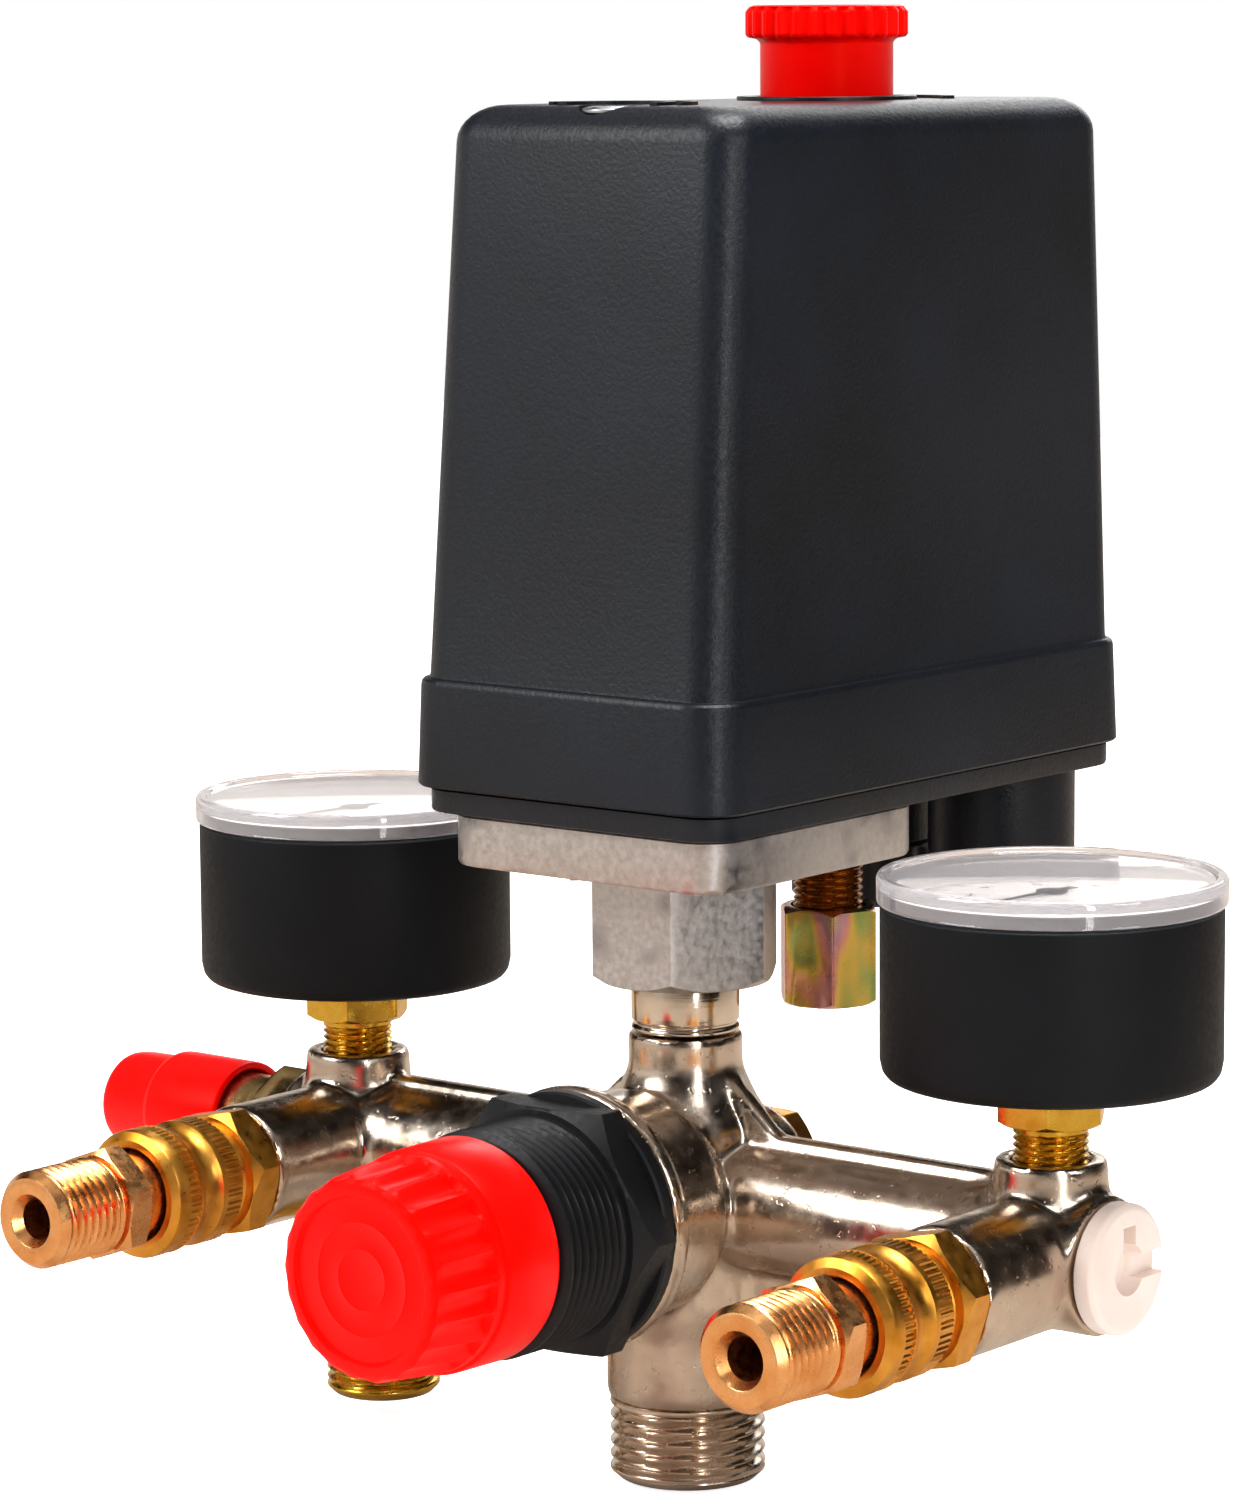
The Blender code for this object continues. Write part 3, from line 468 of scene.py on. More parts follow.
# %% Lathe work
def soften(outline, radius=0.3, loop=False, arc=3):
    """Rounds the corners of an outline with short arcs."""
    count, rounded = len(outline), []
    for number, corner in enumerate(outline):
        corner = Vector(corner)
        back = Vector(outline[number - 1]) - corner
        on = Vector(outline[(number + 1) % count]) - corner
        at_end = not loop and number in (0, count - 1)
        if at_end or corner.x < 1e-6 or back.angle(on) > math.radians(165):
            rounded.append(tuple(corner))
            continue
        reach = min(radius, 0.45 * back.length, 0.45 * on.length)
        start, stop = corner + back.normalized() * reach, corner + on.normalized() * reach
        for step in range(arc + 1):
            t = step / arc
            rounded.append(tuple(start * (1 - t) ** 2 + corner * 2 * t * (1 - t) + stop * t * t))
    return rounded


def lathe(name, outline, steps=64, loop=False, round_mm=0.3):
    """Spins a half outline of (radius, height) points into a closed part on the Z axis."""
    outline = soften(outline, round_mm, loop) if round_mm else list(outline)
    bpy.ops.object.select_all(action="DESELECT")
    bpy.ops.mesh.primitive_plane_add(size=MM, location=(0, 0, 0))
    piece = newest(name)
    edit_all()
    bpy.ops.mesh.merge(type="CENTER")
    bpy.ops.transform.translate(value=(outline[0][0] * MM, 0, outline[0][1] * MM))
    route = outline + outline[:1] if loop else outline
    for (r0, z0), (r1, z1) in zip(route, route[1:]):
        bpy.ops.mesh.extrude_vertices_move(
            TRANSFORM_OT_translate={"value": ((r1 - r0) * MM, 0, (z1 - z0) * MM)})
    bpy.ops.mesh.select_all(action="SELECT")
    bpy.ops.mesh.remove_doubles(threshold=MERGE)
    bpy.ops.mesh.spin(steps=steps, angle=math.tau, center=(0, 0, 0), axis=(0, 0, 1))
    bpy.ops.mesh.select_all(action="SELECT")
    bpy.ops.mesh.remove_doubles(threshold=MERGE)
    face_outwards()
    return piece


def rows(radius, low, high, pitch, per_turn=8):
    """Outline points up a wall, close enough together to carry a thread or flutes."""
    count = max(2, round(abs(high - low) / pitch * per_turn))
    return [(radius, low + (high - low) * i / count) for i in range(count + 1)]


def reshape(piece, rule):
    """Moves each point of a turned part in or out: rule(radius, angle, height) is in mm."""
    for vert in piece.data.vertices:
        across = math.hypot(vert.co.x, vert.co.y)
        if across > 1e-7:
            change = rule(across / MM, math.atan2(vert.co.y, vert.co.x), vert.co.z / MM) * MM
            vert.co.x *= change / across
            vert.co.y *= change / across
    piece.data.update()
    return piece


def thread(radius, low, high, pitch, depth):
    """A rule for reshape: a screw thread with flat crests that fades in and out at its ends."""
    def rule(r, angle, z):
        if not (low <= z <= high and abs(r - radius) < 0.03):
            return r
        phase = (z / pitch - angle / math.tau) % 1.0
        groove = min(1.0, max(0.0, 1.35 * (1 - abs(2 * phase - 1)) - 0.15))
        fade = min(1.0, (z - low) / pitch * 1.5, (high - z) / pitch * 1.5)
        return r - depth * groove * fade
    return rule


def serration(radius, low, high, count, depth):
    """A rule for reshape: straight knurling, with grooves as wide as the ridges between them."""
    def rule(r, angle, z):
        if not (low - 1e-4 <= z <= high + 1e-4 and abs(r - radius) < 0.06):
            return r
        phase = (angle / math.tau * count) % 1.0
        return r - (depth if phase < 0.5 else 0.0)
    return rule


print("lathe ready")

# %% [markdown]
# ### Hexagons
# A spanner hexagon starts as a six-sided cylinder whose upright edges are slightly bevelled.
# Its ends are then chamfered the way a lathe does it, by keeping only what lies inside a
# turned shape with sloped ends. That leaves the curved arcs that real nuts show.


# %% Hexagon helper
def hexagon(name, across, low, high, chamfers=(True, True), quarter_turn=0.0):
    """A hexagon bar with a corner on X, its chosen ends chamfered."""
    corner = across / 2 / math.cos(math.pi / 6)
    bpy.ops.object.select_all(action="DESELECT")
    bpy.ops.mesh.primitive_cylinder_add(vertices=6, radius=corner * MM, depth=(high - low) * MM,
                                        location=(0, 0, (low + high) / 2 * MM),
                                        rotation=(0, 0, math.pi / 2 + quarter_turn))
    prism = newest(name)
    settle()
    bpy.ops.object.mode_set(mode="EDIT")
    bpy.ops.mesh.select_all(action="DESELECT")
    bpy.ops.object.mode_set(mode="OBJECT")
    for edge in prism.data.edges:
        a, b = (prism.data.vertices[v].co for v in edge.vertices)
        edge.select = abs(a.z - b.z) > MERGE
    bpy.ops.object.mode_set(mode="EDIT")
    bpy.ops.mesh.select_mode(type="EDGE")
    bpy.ops.mesh.bevel(offset=0.25 * MM, segments=2, affect="EDGES")
    bpy.ops.mesh.select_mode(type="VERT")
    bpy.ops.object.mode_set(mode="OBJECT")
    flat = across / 2 * 0.985
    drop = (corner - flat) * math.tan(math.radians(30)) * 1.2
    sleeve = [(0, low - 1)]
    sleeve += [(flat, low), (corner + 0.05, low + drop)] if chamfers[0] else [(corner + 1, low - 1)]
    sleeve += [(corner + 0.05, high - drop), (flat, high)] if chamfers[1] else [(corner + 1,
                                                                                 high + 1)]
    sleeve += [(0, high + 1)]
    if chamfers[0]:
        sleeve[0] = (0, low)
    if chamfers[1]:
        sleeve[-1] = (0, high)
    return combine(prism, "INTERSECT", lathe(f"{name}_chamfer", sleeve, 96, round_mm=0))


# %% [markdown]
# ## The cover
# The real cover is one ABS moulding with a draft angle, a straight skirt that drops over the
# base, and a rounded lid. It could be a scaled cube, but its corners would then be scaled
# too. So it starts as a flat plane whose four corners are bevelled round, and that outline
# is extruded upwards ring by ring, each ring resized and shifted to the width wanted there.
# A Solidify modifier gives it the 2 mm wall of a moulding.


# %% Build the cover
def rounded_rings(name, rings, corner):
    """A closed stack of rounded rectangles. Each ring is (half width, front Y, back Y, height)."""
    half, front, back, height = rings[0]
    bpy.ops.object.select_all(action="DESELECT")
    bpy.ops.mesh.primitive_plane_add(size=2, location=(0, 0, 0))
    piece = newest(name)
    piece.scale = (half * MM, (back - front) / 2 * MM, 1)
    piece.location = (0, (back + front) / 2 * MM, height * MM)
    settle()
    edit_all()
    bpy.ops.mesh.bevel(offset=corner * MM, segments=8, affect="VERTICES")
    bpy.ops.mesh.select_all(action="SELECT")
    for before, after in zip(rings, rings[1:]):
        bpy.ops.mesh.extrude_region_move(
            TRANSFORM_OT_translate={"value": (0, 0, (after[3] - before[3]) * MM)})
        middle_y = (before[1] + before[2]) / 2
        bpy.ops.transform.resize(
            value=(after[0] / before[0], (after[2] - after[1]) / (before[2] - before[1]), 1),
            center_override=(0, middle_y * MM, after[3] * MM))
        bpy.ops.transform.translate(value=(0, ((after[1] + after[2]) / 2 - middle_y) * MM, 0))
    face_outwards()
    return piece


def remove_face(piece, height):
    """Deletes the flat end face of a stack that lies at this height."""
    for polygon in piece.data.polygons:
        polygon.select = abs(polygon.center.z - height * MM) < 1e-5 and abs(polygon.normal.z) > 0.99
    for edge in piece.data.edges:
        edge.select = False
    for vert in piece.data.vertices:
        vert.select = False
    bpy.ops.object.mode_set(mode="EDIT")
    bpy.ops.mesh.select_mode(type="FACE")
    bpy.ops.mesh.delete(type="ONLY_FACE")
    bpy.ops.mesh.select_mode(type="VERT")
    bpy.ops.object.mode_set(mode="OBJECT")


SKIRT_LOW, COVER_TOP = ends("switch_cover", Z)
SKIRT_FRONT, SKIRT_BACK = ends("switch_cover", Y)
SKIRT_HALF = ends("switch_cover", X)[1]
LEDGE = 109.3                        # where the skirt steps in to the hood
HOOD_LOW = LEDGE + 0.6
HOOD_FOOT = (25.3, -25.6, 66.5)      # half width, front and back, here and at the lid
LID = (24.0, -19.9, 64.3)
LID_ROUND = 4.6
WALL = 2.0


def hood_ring(share, inset=0.0, height=None):
    """The hood's outline at a share of its height, drawn in by inset."""
    level = HOOD_LOW + (COVER_TOP - HOOD_LOW) * share
    half, front, back = (f + (t - f) * share for f, t in zip(HOOD_FOOT, LID))
    return (half - inset, front + inset, back - inset, level if height is None else height)


def skirt_ring(inset, height):
    """The skirt's outline, drawn in by inset."""
    return (SKIRT_HALF - inset, SKIRT_FRONT + inset, SKIRT_BACK - inset, height)


rings = [skirt_ring(0.25, SKIRT_LOW), skirt_ring(0.0, SKIRT_LOW + 0.3)]
rings += [skirt_ring(inset, LEDGE - drop)
          for inset, drop in ((0.4, 0.9), (0.5, 0.35), (0.75, 0.05), (1.05, 0))]
rings += [hood_ring(0.0, -0.12, LEDGE + 0.12), hood_ring(0.0, 0.0, HOOD_LOW), hood_ring(0.35),
          hood_ring(0.7)]
for step in range(9):
    bend = math.pi / 2 * step / 8
    drop = LID_ROUND * (1 - math.sin(bend))
    share = (COVER_TOP - drop - HOOD_LOW) / (COVER_TOP - HOOD_LOW)
    rings.append(hood_ring(share, LID_ROUND * (1 - math.cos(bend)), COVER_TOP - drop))
cover = rounded_rings("cover_moulding", rings, corner=6.0)
remove_face(cover, SKIRT_LOW)
modify(cover, "SOLIDIFY", thickness=WALL * MM, offset=-1.0)
print("cover wall", WALL, "mm,", len(rings), "rings")

# %% [markdown]
# The lid has a hole for the knob, a counterbored hole for the fixing screw, and shallow
# moulded marks: two arcs behind the screw, a collar round the knob hole, and a curved arrow
# behind the knob that shows which way to pull. They are raised by less than a millimetre.

# %% Holes and marks in the lid
SCREW_Y = middle("cover_screw").y
knob_hole = place(lathe("knob_hole", [(0, -4), (9.5, -4), (9.5, 4), (0, 4)], 64, round_mm=0),
                  at=(0, KNOB_Y, COVER_TOP))
screw_outline = [(0, -4), (2.2, -4), (2.2, -1.3), (4.4, -1.3), (4.4, 1), (0, 1)]
screw_hole = place(lathe("screw_hole", screw_outline, 48, round_mm=0), at=(0, SCREW_Y, COVER_TOP))
combine(cover, "DIFFERENCE", knob_hole, screw_hole)


def arc_bar(name, radius, width, low, high, start, sweep):
    """A flat bar bent round the Z axis: a rectangle spun through part of a turn."""
    bpy.ops.object.select_all(action="DESELECT")
    bpy.ops.mesh.primitive_plane_add(size=1, location=(radius * MM, 0, (low + high) / 2 * MM),
                                     rotation=(math.pi / 2, 0, 0))
    strip = newest(name)
    strip.scale = (width * MM, (high - low) * MM, 1)
    settle()
    edit_all()
    bpy.ops.mesh.spin(steps=24, angle=sweep, center=(0, 0, 0), axis=(0, 0, -1))
    face_outwards()
    return place(strip, turn=(0, 0, start))


def arrow_head(name, size, low, high):
    """A three-cornered prism that points along +Y."""
    bpy.ops.object.select_all(action="DESELECT")
    bpy.ops.mesh.primitive_cylinder_add(vertices=3, radius=size * MM, depth=(high - low) * MM,
                                        location=(0, 0, (low + high) / 2 * MM))
    head = newest(name)
    settle()
    return head


MARK_LOW, MARK_HIGH = COVER_TOP - 0.4, COVER_TOP + 0.45
ARROW_R, ARROW_TIP = 16.5, math.radians(138)
for radius, width, start, sweep in ((7.6, 1.4, -8, 196), (10.6, 0.8, 2, 176)):
    mark = arc_bar("screw_arc", radius, width, MARK_LOW, MARK_HIGH, math.radians(start),
                   math.radians(sweep))
    combine(cover, "UNION", place(mark, at=(0, SCREW_Y, 0)))
collar_outline = [(10.4, MARK_LOW), (12.2, MARK_LOW), (12.2, MARK_HIGH + 0.1),
                  (10.4, MARK_HIGH + 0.1)]
knob_collar = lathe("knob_collar", collar_outline, loop=True, round_mm=0.2)
shaft = arc_bar("arrow_shaft", ARROW_R, 1.6, MARK_LOW, MARK_HIGH, math.radians(40),
                math.radians(95))
for mark in (knob_collar, shaft):
    combine(cover, "UNION", place(mark, at=(0, KNOB_Y, 0)))
tip = place(arrow_head("arrow_tip", 3.0, MARK_LOW, MARK_HIGH + 0.02), (0, 0, ARROW_TIP),
            (ARROW_R * math.cos(ARROW_TIP), KNOB_Y + ARROW_R * math.sin(ARROW_TIP), 0))
combine(cover, "UNION", tip)
show(cover, black_abs, "root", "switch_cover", angle=30)

# %% [markdown]
# ## The base and its cable glands
# The base is a shallow tray. A solid stack of rounded rectangles gives its outside, a smaller
# stack cuts the pocket out of it, and turned tools cut the round holes. The two cable glands
# hang below its back, and each nut has finger flutes all round.


# %% Build the base
def bore(radius, low, high, at=(0, 0, 0), steps=48, turn=UP):
    """A round cutting tool; its number of steps keeps its corners off those of what it cuts."""
    tool = lathe("bore", [(0, low), (radius, low), (radius, high), (0, high)], steps, round_mm=0)
    return place(tool, turn, at)


def flutes(radius, low, high, count, depth, power):
    """A rule for reshape: round hollows scooped all round a part."""
    def rule(r, angle, z):
        if not (low <= z <= high and abs(r - radius) < 0.5):
            return r
        wave = 0.5 + 0.5 * math.cos(angle * count)
        return r - depth * wave ** power
    return rule


def screw_holes(piece, low, high):
    """Cuts the holes for the four flange screws."""
    for number in range(1, 5):
        spot = middle(f"flange_screw_{number}")
        combine(piece, "DIFFERENCE", bore(2.2, low, high, (spot.x, spot.y, 0), 24))


BASE_LOW, RIM_TOP = ends("switch_base", Z)
BASE_HALF = ends("switch_base", X)[1]
BASE_FRONT, BASE_BACK = ends("switch_base", Y)
GLAND = middle("cable_gland_nut_right")
TRAY_LOW, TRAY_FLOOR = 91.5, 94.7


def tray_ring(inset, height):
    """The tray's outline, drawn in by inset."""
    return (BASE_HALF - inset, BASE_FRONT + inset, BASE_BACK - inset, height)


tray_rings = [tray_ring(inset, height) for inset, height in (
    (0.5, TRAY_LOW), (0.12, TRAY_LOW + 0.15), (0.0, TRAY_LOW + 0.5), (0.0, TRAY_FLOOR - 0.2),
    (0.9, TRAY_FLOOR), (0.9, RIM_TOP))]
tray = rounded_rings("base_moulding", tray_rings, corner=5.0)
pocket = rounded_rings("tray_pocket", [tray_ring(2.7, TRAY_FLOOR + 0.02),
                                       tray_ring(2.7, RIM_TOP + 1)],
                       corner=3.2)
combine(tray, "DIFFERENCE", pocket)
tube_outline = [(0, BASE_LOW), (9.9, BASE_LOW), (10.3, BASE_LOW + 0.4), (10.3, TRAY_FLOOR - 0.3),
                (0, TRAY_FLOOR - 0.3)]
for side in (-1, 1):
    tube = lathe("gland_tube", tube_outline, 64, round_mm=0)
    combine(tray, "UNION", place(tube, at=(side * GLAND.x, GLAND.y, 0)))
for side in (-1, 1):
    combine(tray, "DIFFERENCE", bore(7.2, 78, 96, (side * GLAND.x, GLAND.y, 0)))
combine(tray, "DIFFERENCE", bore(11.0, 90, 96), bore(5.2, 90, 96, (0, KNOB_Y, 0)))
screw_holes(tray, 90, 96)
show(tray, black_abs, "root", "switch_base", angle=30)

NUT_LOW = ends("cable_gland_nut_right", Z)[0]
NUT_SEAT = 78.7
nut_outline = ([(4.6, NUT_LOW), (9.2, NUT_LOW), (10.3, NUT_LOW + 1.2)]
               + rows(10.3, NUT_LOW + 1.4, NUT_SEAT - 0.6, 1.0, 2)
               + [(10.3, NUT_SEAT), (6.9, NUT_SEAT), (6.9, 86.0), (4.9, 86.0),
                  (4.9, NUT_SEAT - 1.0),
                  (4.6, NUT_SEAT - 1.0)])
gland_nut = reshape(lathe("gland_nut", nut_outline, 96, loop=True, round_mm=0.25),
                    flutes(10.3, NUT_LOW + 1.3, NUT_SEAT - 0.5, 12, 0.7, 2.0))


def twin(piece, name):
    """A copy of a piece with its own mesh."""
    alone(piece)
    bpy.ops.object.duplicate(linked=False)
    return newest(name)


def fit_both_sides(parts, turn, at, angle=35.0):
    """Copies finished pieces to the left and right side, and removes the patterns.

    Each part is (piece, material, part it replaces or None, body it rides on). Clear pieces
    cast no shadow."""
    for label, side in (("left", -1), ("right", 1)):
        for piece, material, node, body in parts:
            copy = place(twin(piece, f"{piece.name}_{label}"), turn, (side * at[0], at[1], at[2]))
            nodes = [f"{node}_{label}"] if node else []
            show(copy, material, body.format(label), *nodes, angle=angle)
            copy.visible_shadow = material is not clear_lens
    for piece, *_ in parts:
        bpy.data.objects.remove(piece)


fit_both_sides([(gland_nut, black_nylon, "cable_gland_nut", "root")], UP, (GLAND.x, GLAND.y, 0))

# %% [markdown]
# ## The cover screw and the on/off knob
# The screw is a turned pan head with a cross recess, cut by two crossed bars. The red knob
# is one moulding: a fluted head, a plain hollow stem and the thin rod that trips the switch.
# Its flutes are made by moving the points of the rim in and out as the angle goes round.


# %% Build the screw and the knob
def bar(name, x_span, y_span, z_span, edge=0.0):
    """A rectangular bar with bevelled edges, given by where it starts and stops each way."""
    spans = (x_span, y_span, z_span)
    bpy.ops.object.select_all(action="DESELECT")
    bpy.ops.mesh.primitive_cube_add(size=1, location=[sum(s) / 2 * MM for s in spans])
    made = newest(name)
    made.scale = [(s[1] - s[0]) * MM for s in spans]
    settle()
    if edge:
        edit_all()
        bpy.ops.mesh.bevel(offset=edge * MM, segments=2, affect="EDGES")
        bpy.ops.object.mode_set(mode="OBJECT")
    return made


SCREW_LOW, SCREW_TOP = ends("cover_screw", Z)
head = SCREW_TOP - 0.9
screw = lathe("cover_fixing_screw", [(0, SCREW_LOW), (1.5, SCREW_LOW), (1.9, SCREW_LOW + 0.6),
                                     (1.9, head), (4.0, head), (4.0, SCREW_TOP - 0.35),
                                     (3.0, SCREW_TOP), (0, SCREW_TOP)], 48, round_mm=0.15)
reach, slim = (-2.1, 2.1), (-0.42, 0.42)
for spans in ((slim, reach), (reach, slim)):
    combine(screw, "DIFFERENCE", bar("cross", *spans, (SCREW_TOP - 0.75, SCREW_TOP + 1)))
place(screw, at=(0, SCREW_Y, 0))
show(screw, steel, "root", "cover_screw")

KNOB_LOW, KNOB_TOP = ends("on_off_knob", Z)
TEETH = 26
knob_outline = ([(0, KNOB_LOW), (3, KNOB_LOW), (3, 188), (7.2, 188), (7.2, 172), (9, 172),
                 (9, KNOB_TOP - 5.0), (9.5, KNOB_TOP - 4.5), (10.7, KNOB_TOP - 4.3)]
                + rows(11.0, KNOB_TOP - 3.9, KNOB_TOP - 0.9, 1.0, 3)
                + [(10.5, KNOB_TOP - 0.25), (9.9, KNOB_TOP), (8.3, KNOB_TOP), (8.0, KNOB_TOP - 0.3),
                   (0, KNOB_TOP - 0.3)])
knob = lathe("start_stop_knob", knob_outline, TEETH * 6, round_mm=0.2)
reshape(knob, flutes(11.0, KNOB_TOP - 4.4, KNOB_TOP - 0.1, TEETH, 0.85, 1.4))
place(knob, at=(0, KNOB_Y, 0))
show(knob, red_abs, "on_off", "on_off_knob", angle=28)

# %% [markdown]
# ## The switch's mounting flange
# The square flange with its hexagon boss is raw die-cast zinc. It is a rounded plate and a
# chamfered hexagon joined by a Boolean, with small ribs in the corner between them, since a
# caster never leaves a sharp inner corner. Below it, a short plated nipple joins the
# manifold's neck.

# %% Build the flange and the nipple
FLANGE_HALF = ends("diaphragm_flange", X)[1]
BOSS_LOW, FLANGE_TOP = ends("diaphragm_flange", Z)
FLANGE_LOW = 84.2


def flange_ring(inset, height):
    """The flange's outline, drawn in by inset."""
    return (FLANGE_HALF - inset, inset - FLANGE_HALF, FLANGE_HALF - inset, height)


flange_rings = [flange_ring(inset, height) for inset, height in (
    (0.7, FLANGE_LOW), (0.2, FLANGE_LOW + 0.15), (0.0, FLANGE_LOW + 0.6), (0.0, FLANGE_TOP - 0.4),
    (0.3, FLANGE_TOP))]
flange = rounded_rings("switch_flange", flange_rings, corner=5.5)
boss = hexagon("flange_boss", 23.0, BOSS_LOW, FLANGE_LOW + 1.0, (True, False))
combine(flange, "UNION", boss)
collar = lathe("boss_fillet", [(0, FLANGE_LOW - 1.2), (12.6, FLANGE_LOW - 1.2),
                               (13.0, FLANGE_LOW - 0.5),
                               (13.9, FLANGE_LOW + 0.3), (0, FLANGE_LOW + 0.3)], 72, round_mm=0)
combine(flange, "UNION", collar)
for degrees in (45, 135, 225, 315):
    rib = bar("boss_rib", (11.0, 15.5), (-0.7, 0.7), (FLANGE_LOW - 2.6, FLANGE_LOW + 0.5), 0.25)
    combine(flange, "UNION", place(rib, turn=(0, 0, math.radians(degrees))))
seat = [(0, BOSS_LOW - 1), (5.5, BOSS_LOW - 1), (5.5, 81), (2, 82), (2, 87.4), (16, 87.4),
        (16, 89.7),
        (19.3, 89.7), (19.3, FLANGE_TOP + 1), (0, FLANGE_TOP + 1)]
combine(flange, "DIFFERENCE", lathe("flange_bore", seat, 80, round_mm=0))
screw_holes(flange, 86, 93)
show(flange, cast_zinc, "root", "diaphragm_flange", angle=30)

NECK_TOP = ends("manifold_body", Z)[1]
NIPPLE_LOW = NECK_TOP + 0.3
nipple_outline = [(4.3, 80), (5.2, 79), (5.2, BOSS_LOW - 0.3), (7.25, BOSS_LOW - 0.3),
                  (7.25, NIPPLE_LOW + 1.4), (6.95, NIPPLE_LOW + 1.1), (6.95, NIPPLE_LOW + 0.8),
                  (7.25, NIPPLE_LOW + 0.5), (7.25, NIPPLE_LOW), (4.3, NIPPLE_LOW), (4.3, 50),
                  (2, 50), (2, 80)]
nipple = lathe("switch_neck_nipple", nipple_outline, loop=True, round_mm=0.25)
show(nipple, turned_nickel, "root", "switch_nipple")

# %% [markdown]
# ## The manifold casting
# This is one zinc die casting: an upright column, a cross bar, ribs, bosses and the seat of
# the regulator, all running into each other with small fillets. Joining turned shapes by
# Booleans gives the form but leaves every inner corner knife sharp. So the joined form goes
# through a voxel Remesh modifier, which lays an even net of half-millimetre faces over it,
# and smoothing that net rounds all the edges together, just as molten metal and a polishing
# wheel would. The tank thread is machined afterwards, so it is added crisp at the end.

# %% Build the manifold
COLUMN = [(0, 11.0), (10.6, 11.0), (10.85, 12.0), (10.85, 20.5), (11.7, 24.5), (11.7, 45),
          (11.0, 49.5),
          (9.3, 52.5), (7.75, 56), (7.65, 57), (7.65, NECK_TOP), (0, NECK_TOP)]
BAR_END = ends("manifold_body", X)[1]
BAR_R, BAR_END_R = 8.5, 9.0
CHAMBER_FACE = 24.0
RIB_THICK = 3.0
PIPE_QUARTER_R = 6.58                # outside of a G 1/4 pipe thread
PIPE_PITCH = 1.337                   # its 19 turns to the inch
SOCKET_R = PIPE_QUARTER_R + 0.3      # the round hole that such a thread goes into
NET_SIZE = 0.62
bar_outline = [(0, -BAR_END), (BAR_END_R, -BAR_END), (BAR_END_R, -50), (BAR_R, -48.6),
               (BAR_R, 48.6),
               (BAR_END_R, 50), (BAR_END_R, BAR_END), (0, BAR_END)]
chamber = [(0, -15), (9.5, -15), (9.5, 2), (11.5, 6), (15.3, 11), (15.3, 20.4), (17.5, 21.2),
           (17.5, CHAMBER_FACE), (0, CHAMBER_FACE)]


def web(name, outline):
    """A flat rib from an outline of (x, z) points: a polygon that is extruded."""
    bpy.ops.object.select_all(action="DESELECT")
    bpy.ops.mesh.primitive_circle_add(vertices=len(outline), radius=MM, fill_type="NGON")
    rib = newest(name)
    for vert, (x, z) in zip(rib.data.vertices, outline):
        vert.co = (x * MM, -RIB_THICK / 2 * MM, z * MM)
    edit_all()
    bpy.ops.mesh.extrude_region_move(TRANSFORM_OT_translate={"value": (0, RIB_THICK * MM, 0)})
    face_outwards()
    return rib


TOP_RIB = [(-52, 44), (52, 44), (52, 48.6), (16, 48.6), (7, 56.5), (-7, 56.5), (-16, 48.6),
           (-52, 48.6)]
LOWER_WEB = [(-38, 33), (-22, 25.5), (-10, 19), (10, 19), (22, 25.5), (38, 33)]
STUB_TOP = 51.5
OUTLET_FACE = 25.5
LOWER_X = middle("lower_outlet_nipple").x

casting = lathe("manifold_casting", COLUMN, 72, round_mm=0.4)
lumps = [place(lathe("cross_bar", bar_outline, 56, round_mm=0), TO_RIGHT, (0, 0, BAR_Z)),
         web("top_rib", TOP_RIB), web("lower_web", LOWER_WEB),
         place(lathe("regulator_seat", chamber, 88, round_mm=0.3), TO_FRONT, (0, 0, REGULATOR_Z)),
         place(lathe("lower_boss", [(0, 24), (8.9, 24), (8.9, BAR_Z), (0, BAR_Z)], 60,
                     round_mm=0.4),
               at=(LOWER_X, 0, 0))]
for side in (-1, 1):
    stub = [(0, BAR_Z), (7.9, BAR_Z), (7.5, 47), (7.2, STUB_TOP), (0, STUB_TOP)]
    outlet = [(0, 0), (8.7, 0), (8.7, OUTLET_FACE), (0, OUTLET_FACE)]
    lumps.append(place(lathe("gauge_stub", stub, 52, round_mm=0.3), at=(side * PORT_X, 0, 0)))
    lumps.append(place(lathe("outlet", outlet, 58, round_mm=0.3), TO_FRONT,
                       (side * PORT_X, 0, BAR_Z)))
cuts = [bore(8.0, 9, 25, steps=50), bore(4.6, 20, 62, steps=46),
        place(lathe("seat_bore", [(0, -16), (5, -16), (5, 6), (2.2, 6), (2.2, 13.2), (12, 13.2),
                                  (12, 16), (13.4, 16), (13.4, 25), (0, 25)], 76, round_mm=0),
              TO_FRONT, (0, 0, REGULATOR_Z)),
        bore(5.0, 0, 70, (0, 0, BAR_Z), 44, TO_LEFT), bore(5.0, 9, 70, (0, 0, BAR_Z), 44, TO_RIGHT),
        bore(SOCKET_R, 23, 36, (LOWER_X, 0, 0), 42)]
for side, outwards in ((-1, TO_LEFT), (1, TO_RIGHT)):
    port = [(0, 40), (2.5, 40), (2.5, 44.8), (5.16, 44.8), (5.16, 53), (0, 53)]
    mouth = [(0, 1), (4.5, 1), (4.5, 14.5), (SOCKET_R, 14.5), (SOCKET_R, 27), (0, 27)]
    cuts += [place(lathe("gauge_port", port, 38, round_mm=0), at=(side * PORT_X, 0, 0)),
             place(lathe("outlet_mouth", mouth, 40, round_mm=0), TO_FRONT,
                   (side * PORT_X, 0, BAR_Z)),
             bore(SOCKET_R, 57.6, 70, (0, 0, BAR_Z), 45, outwards)]


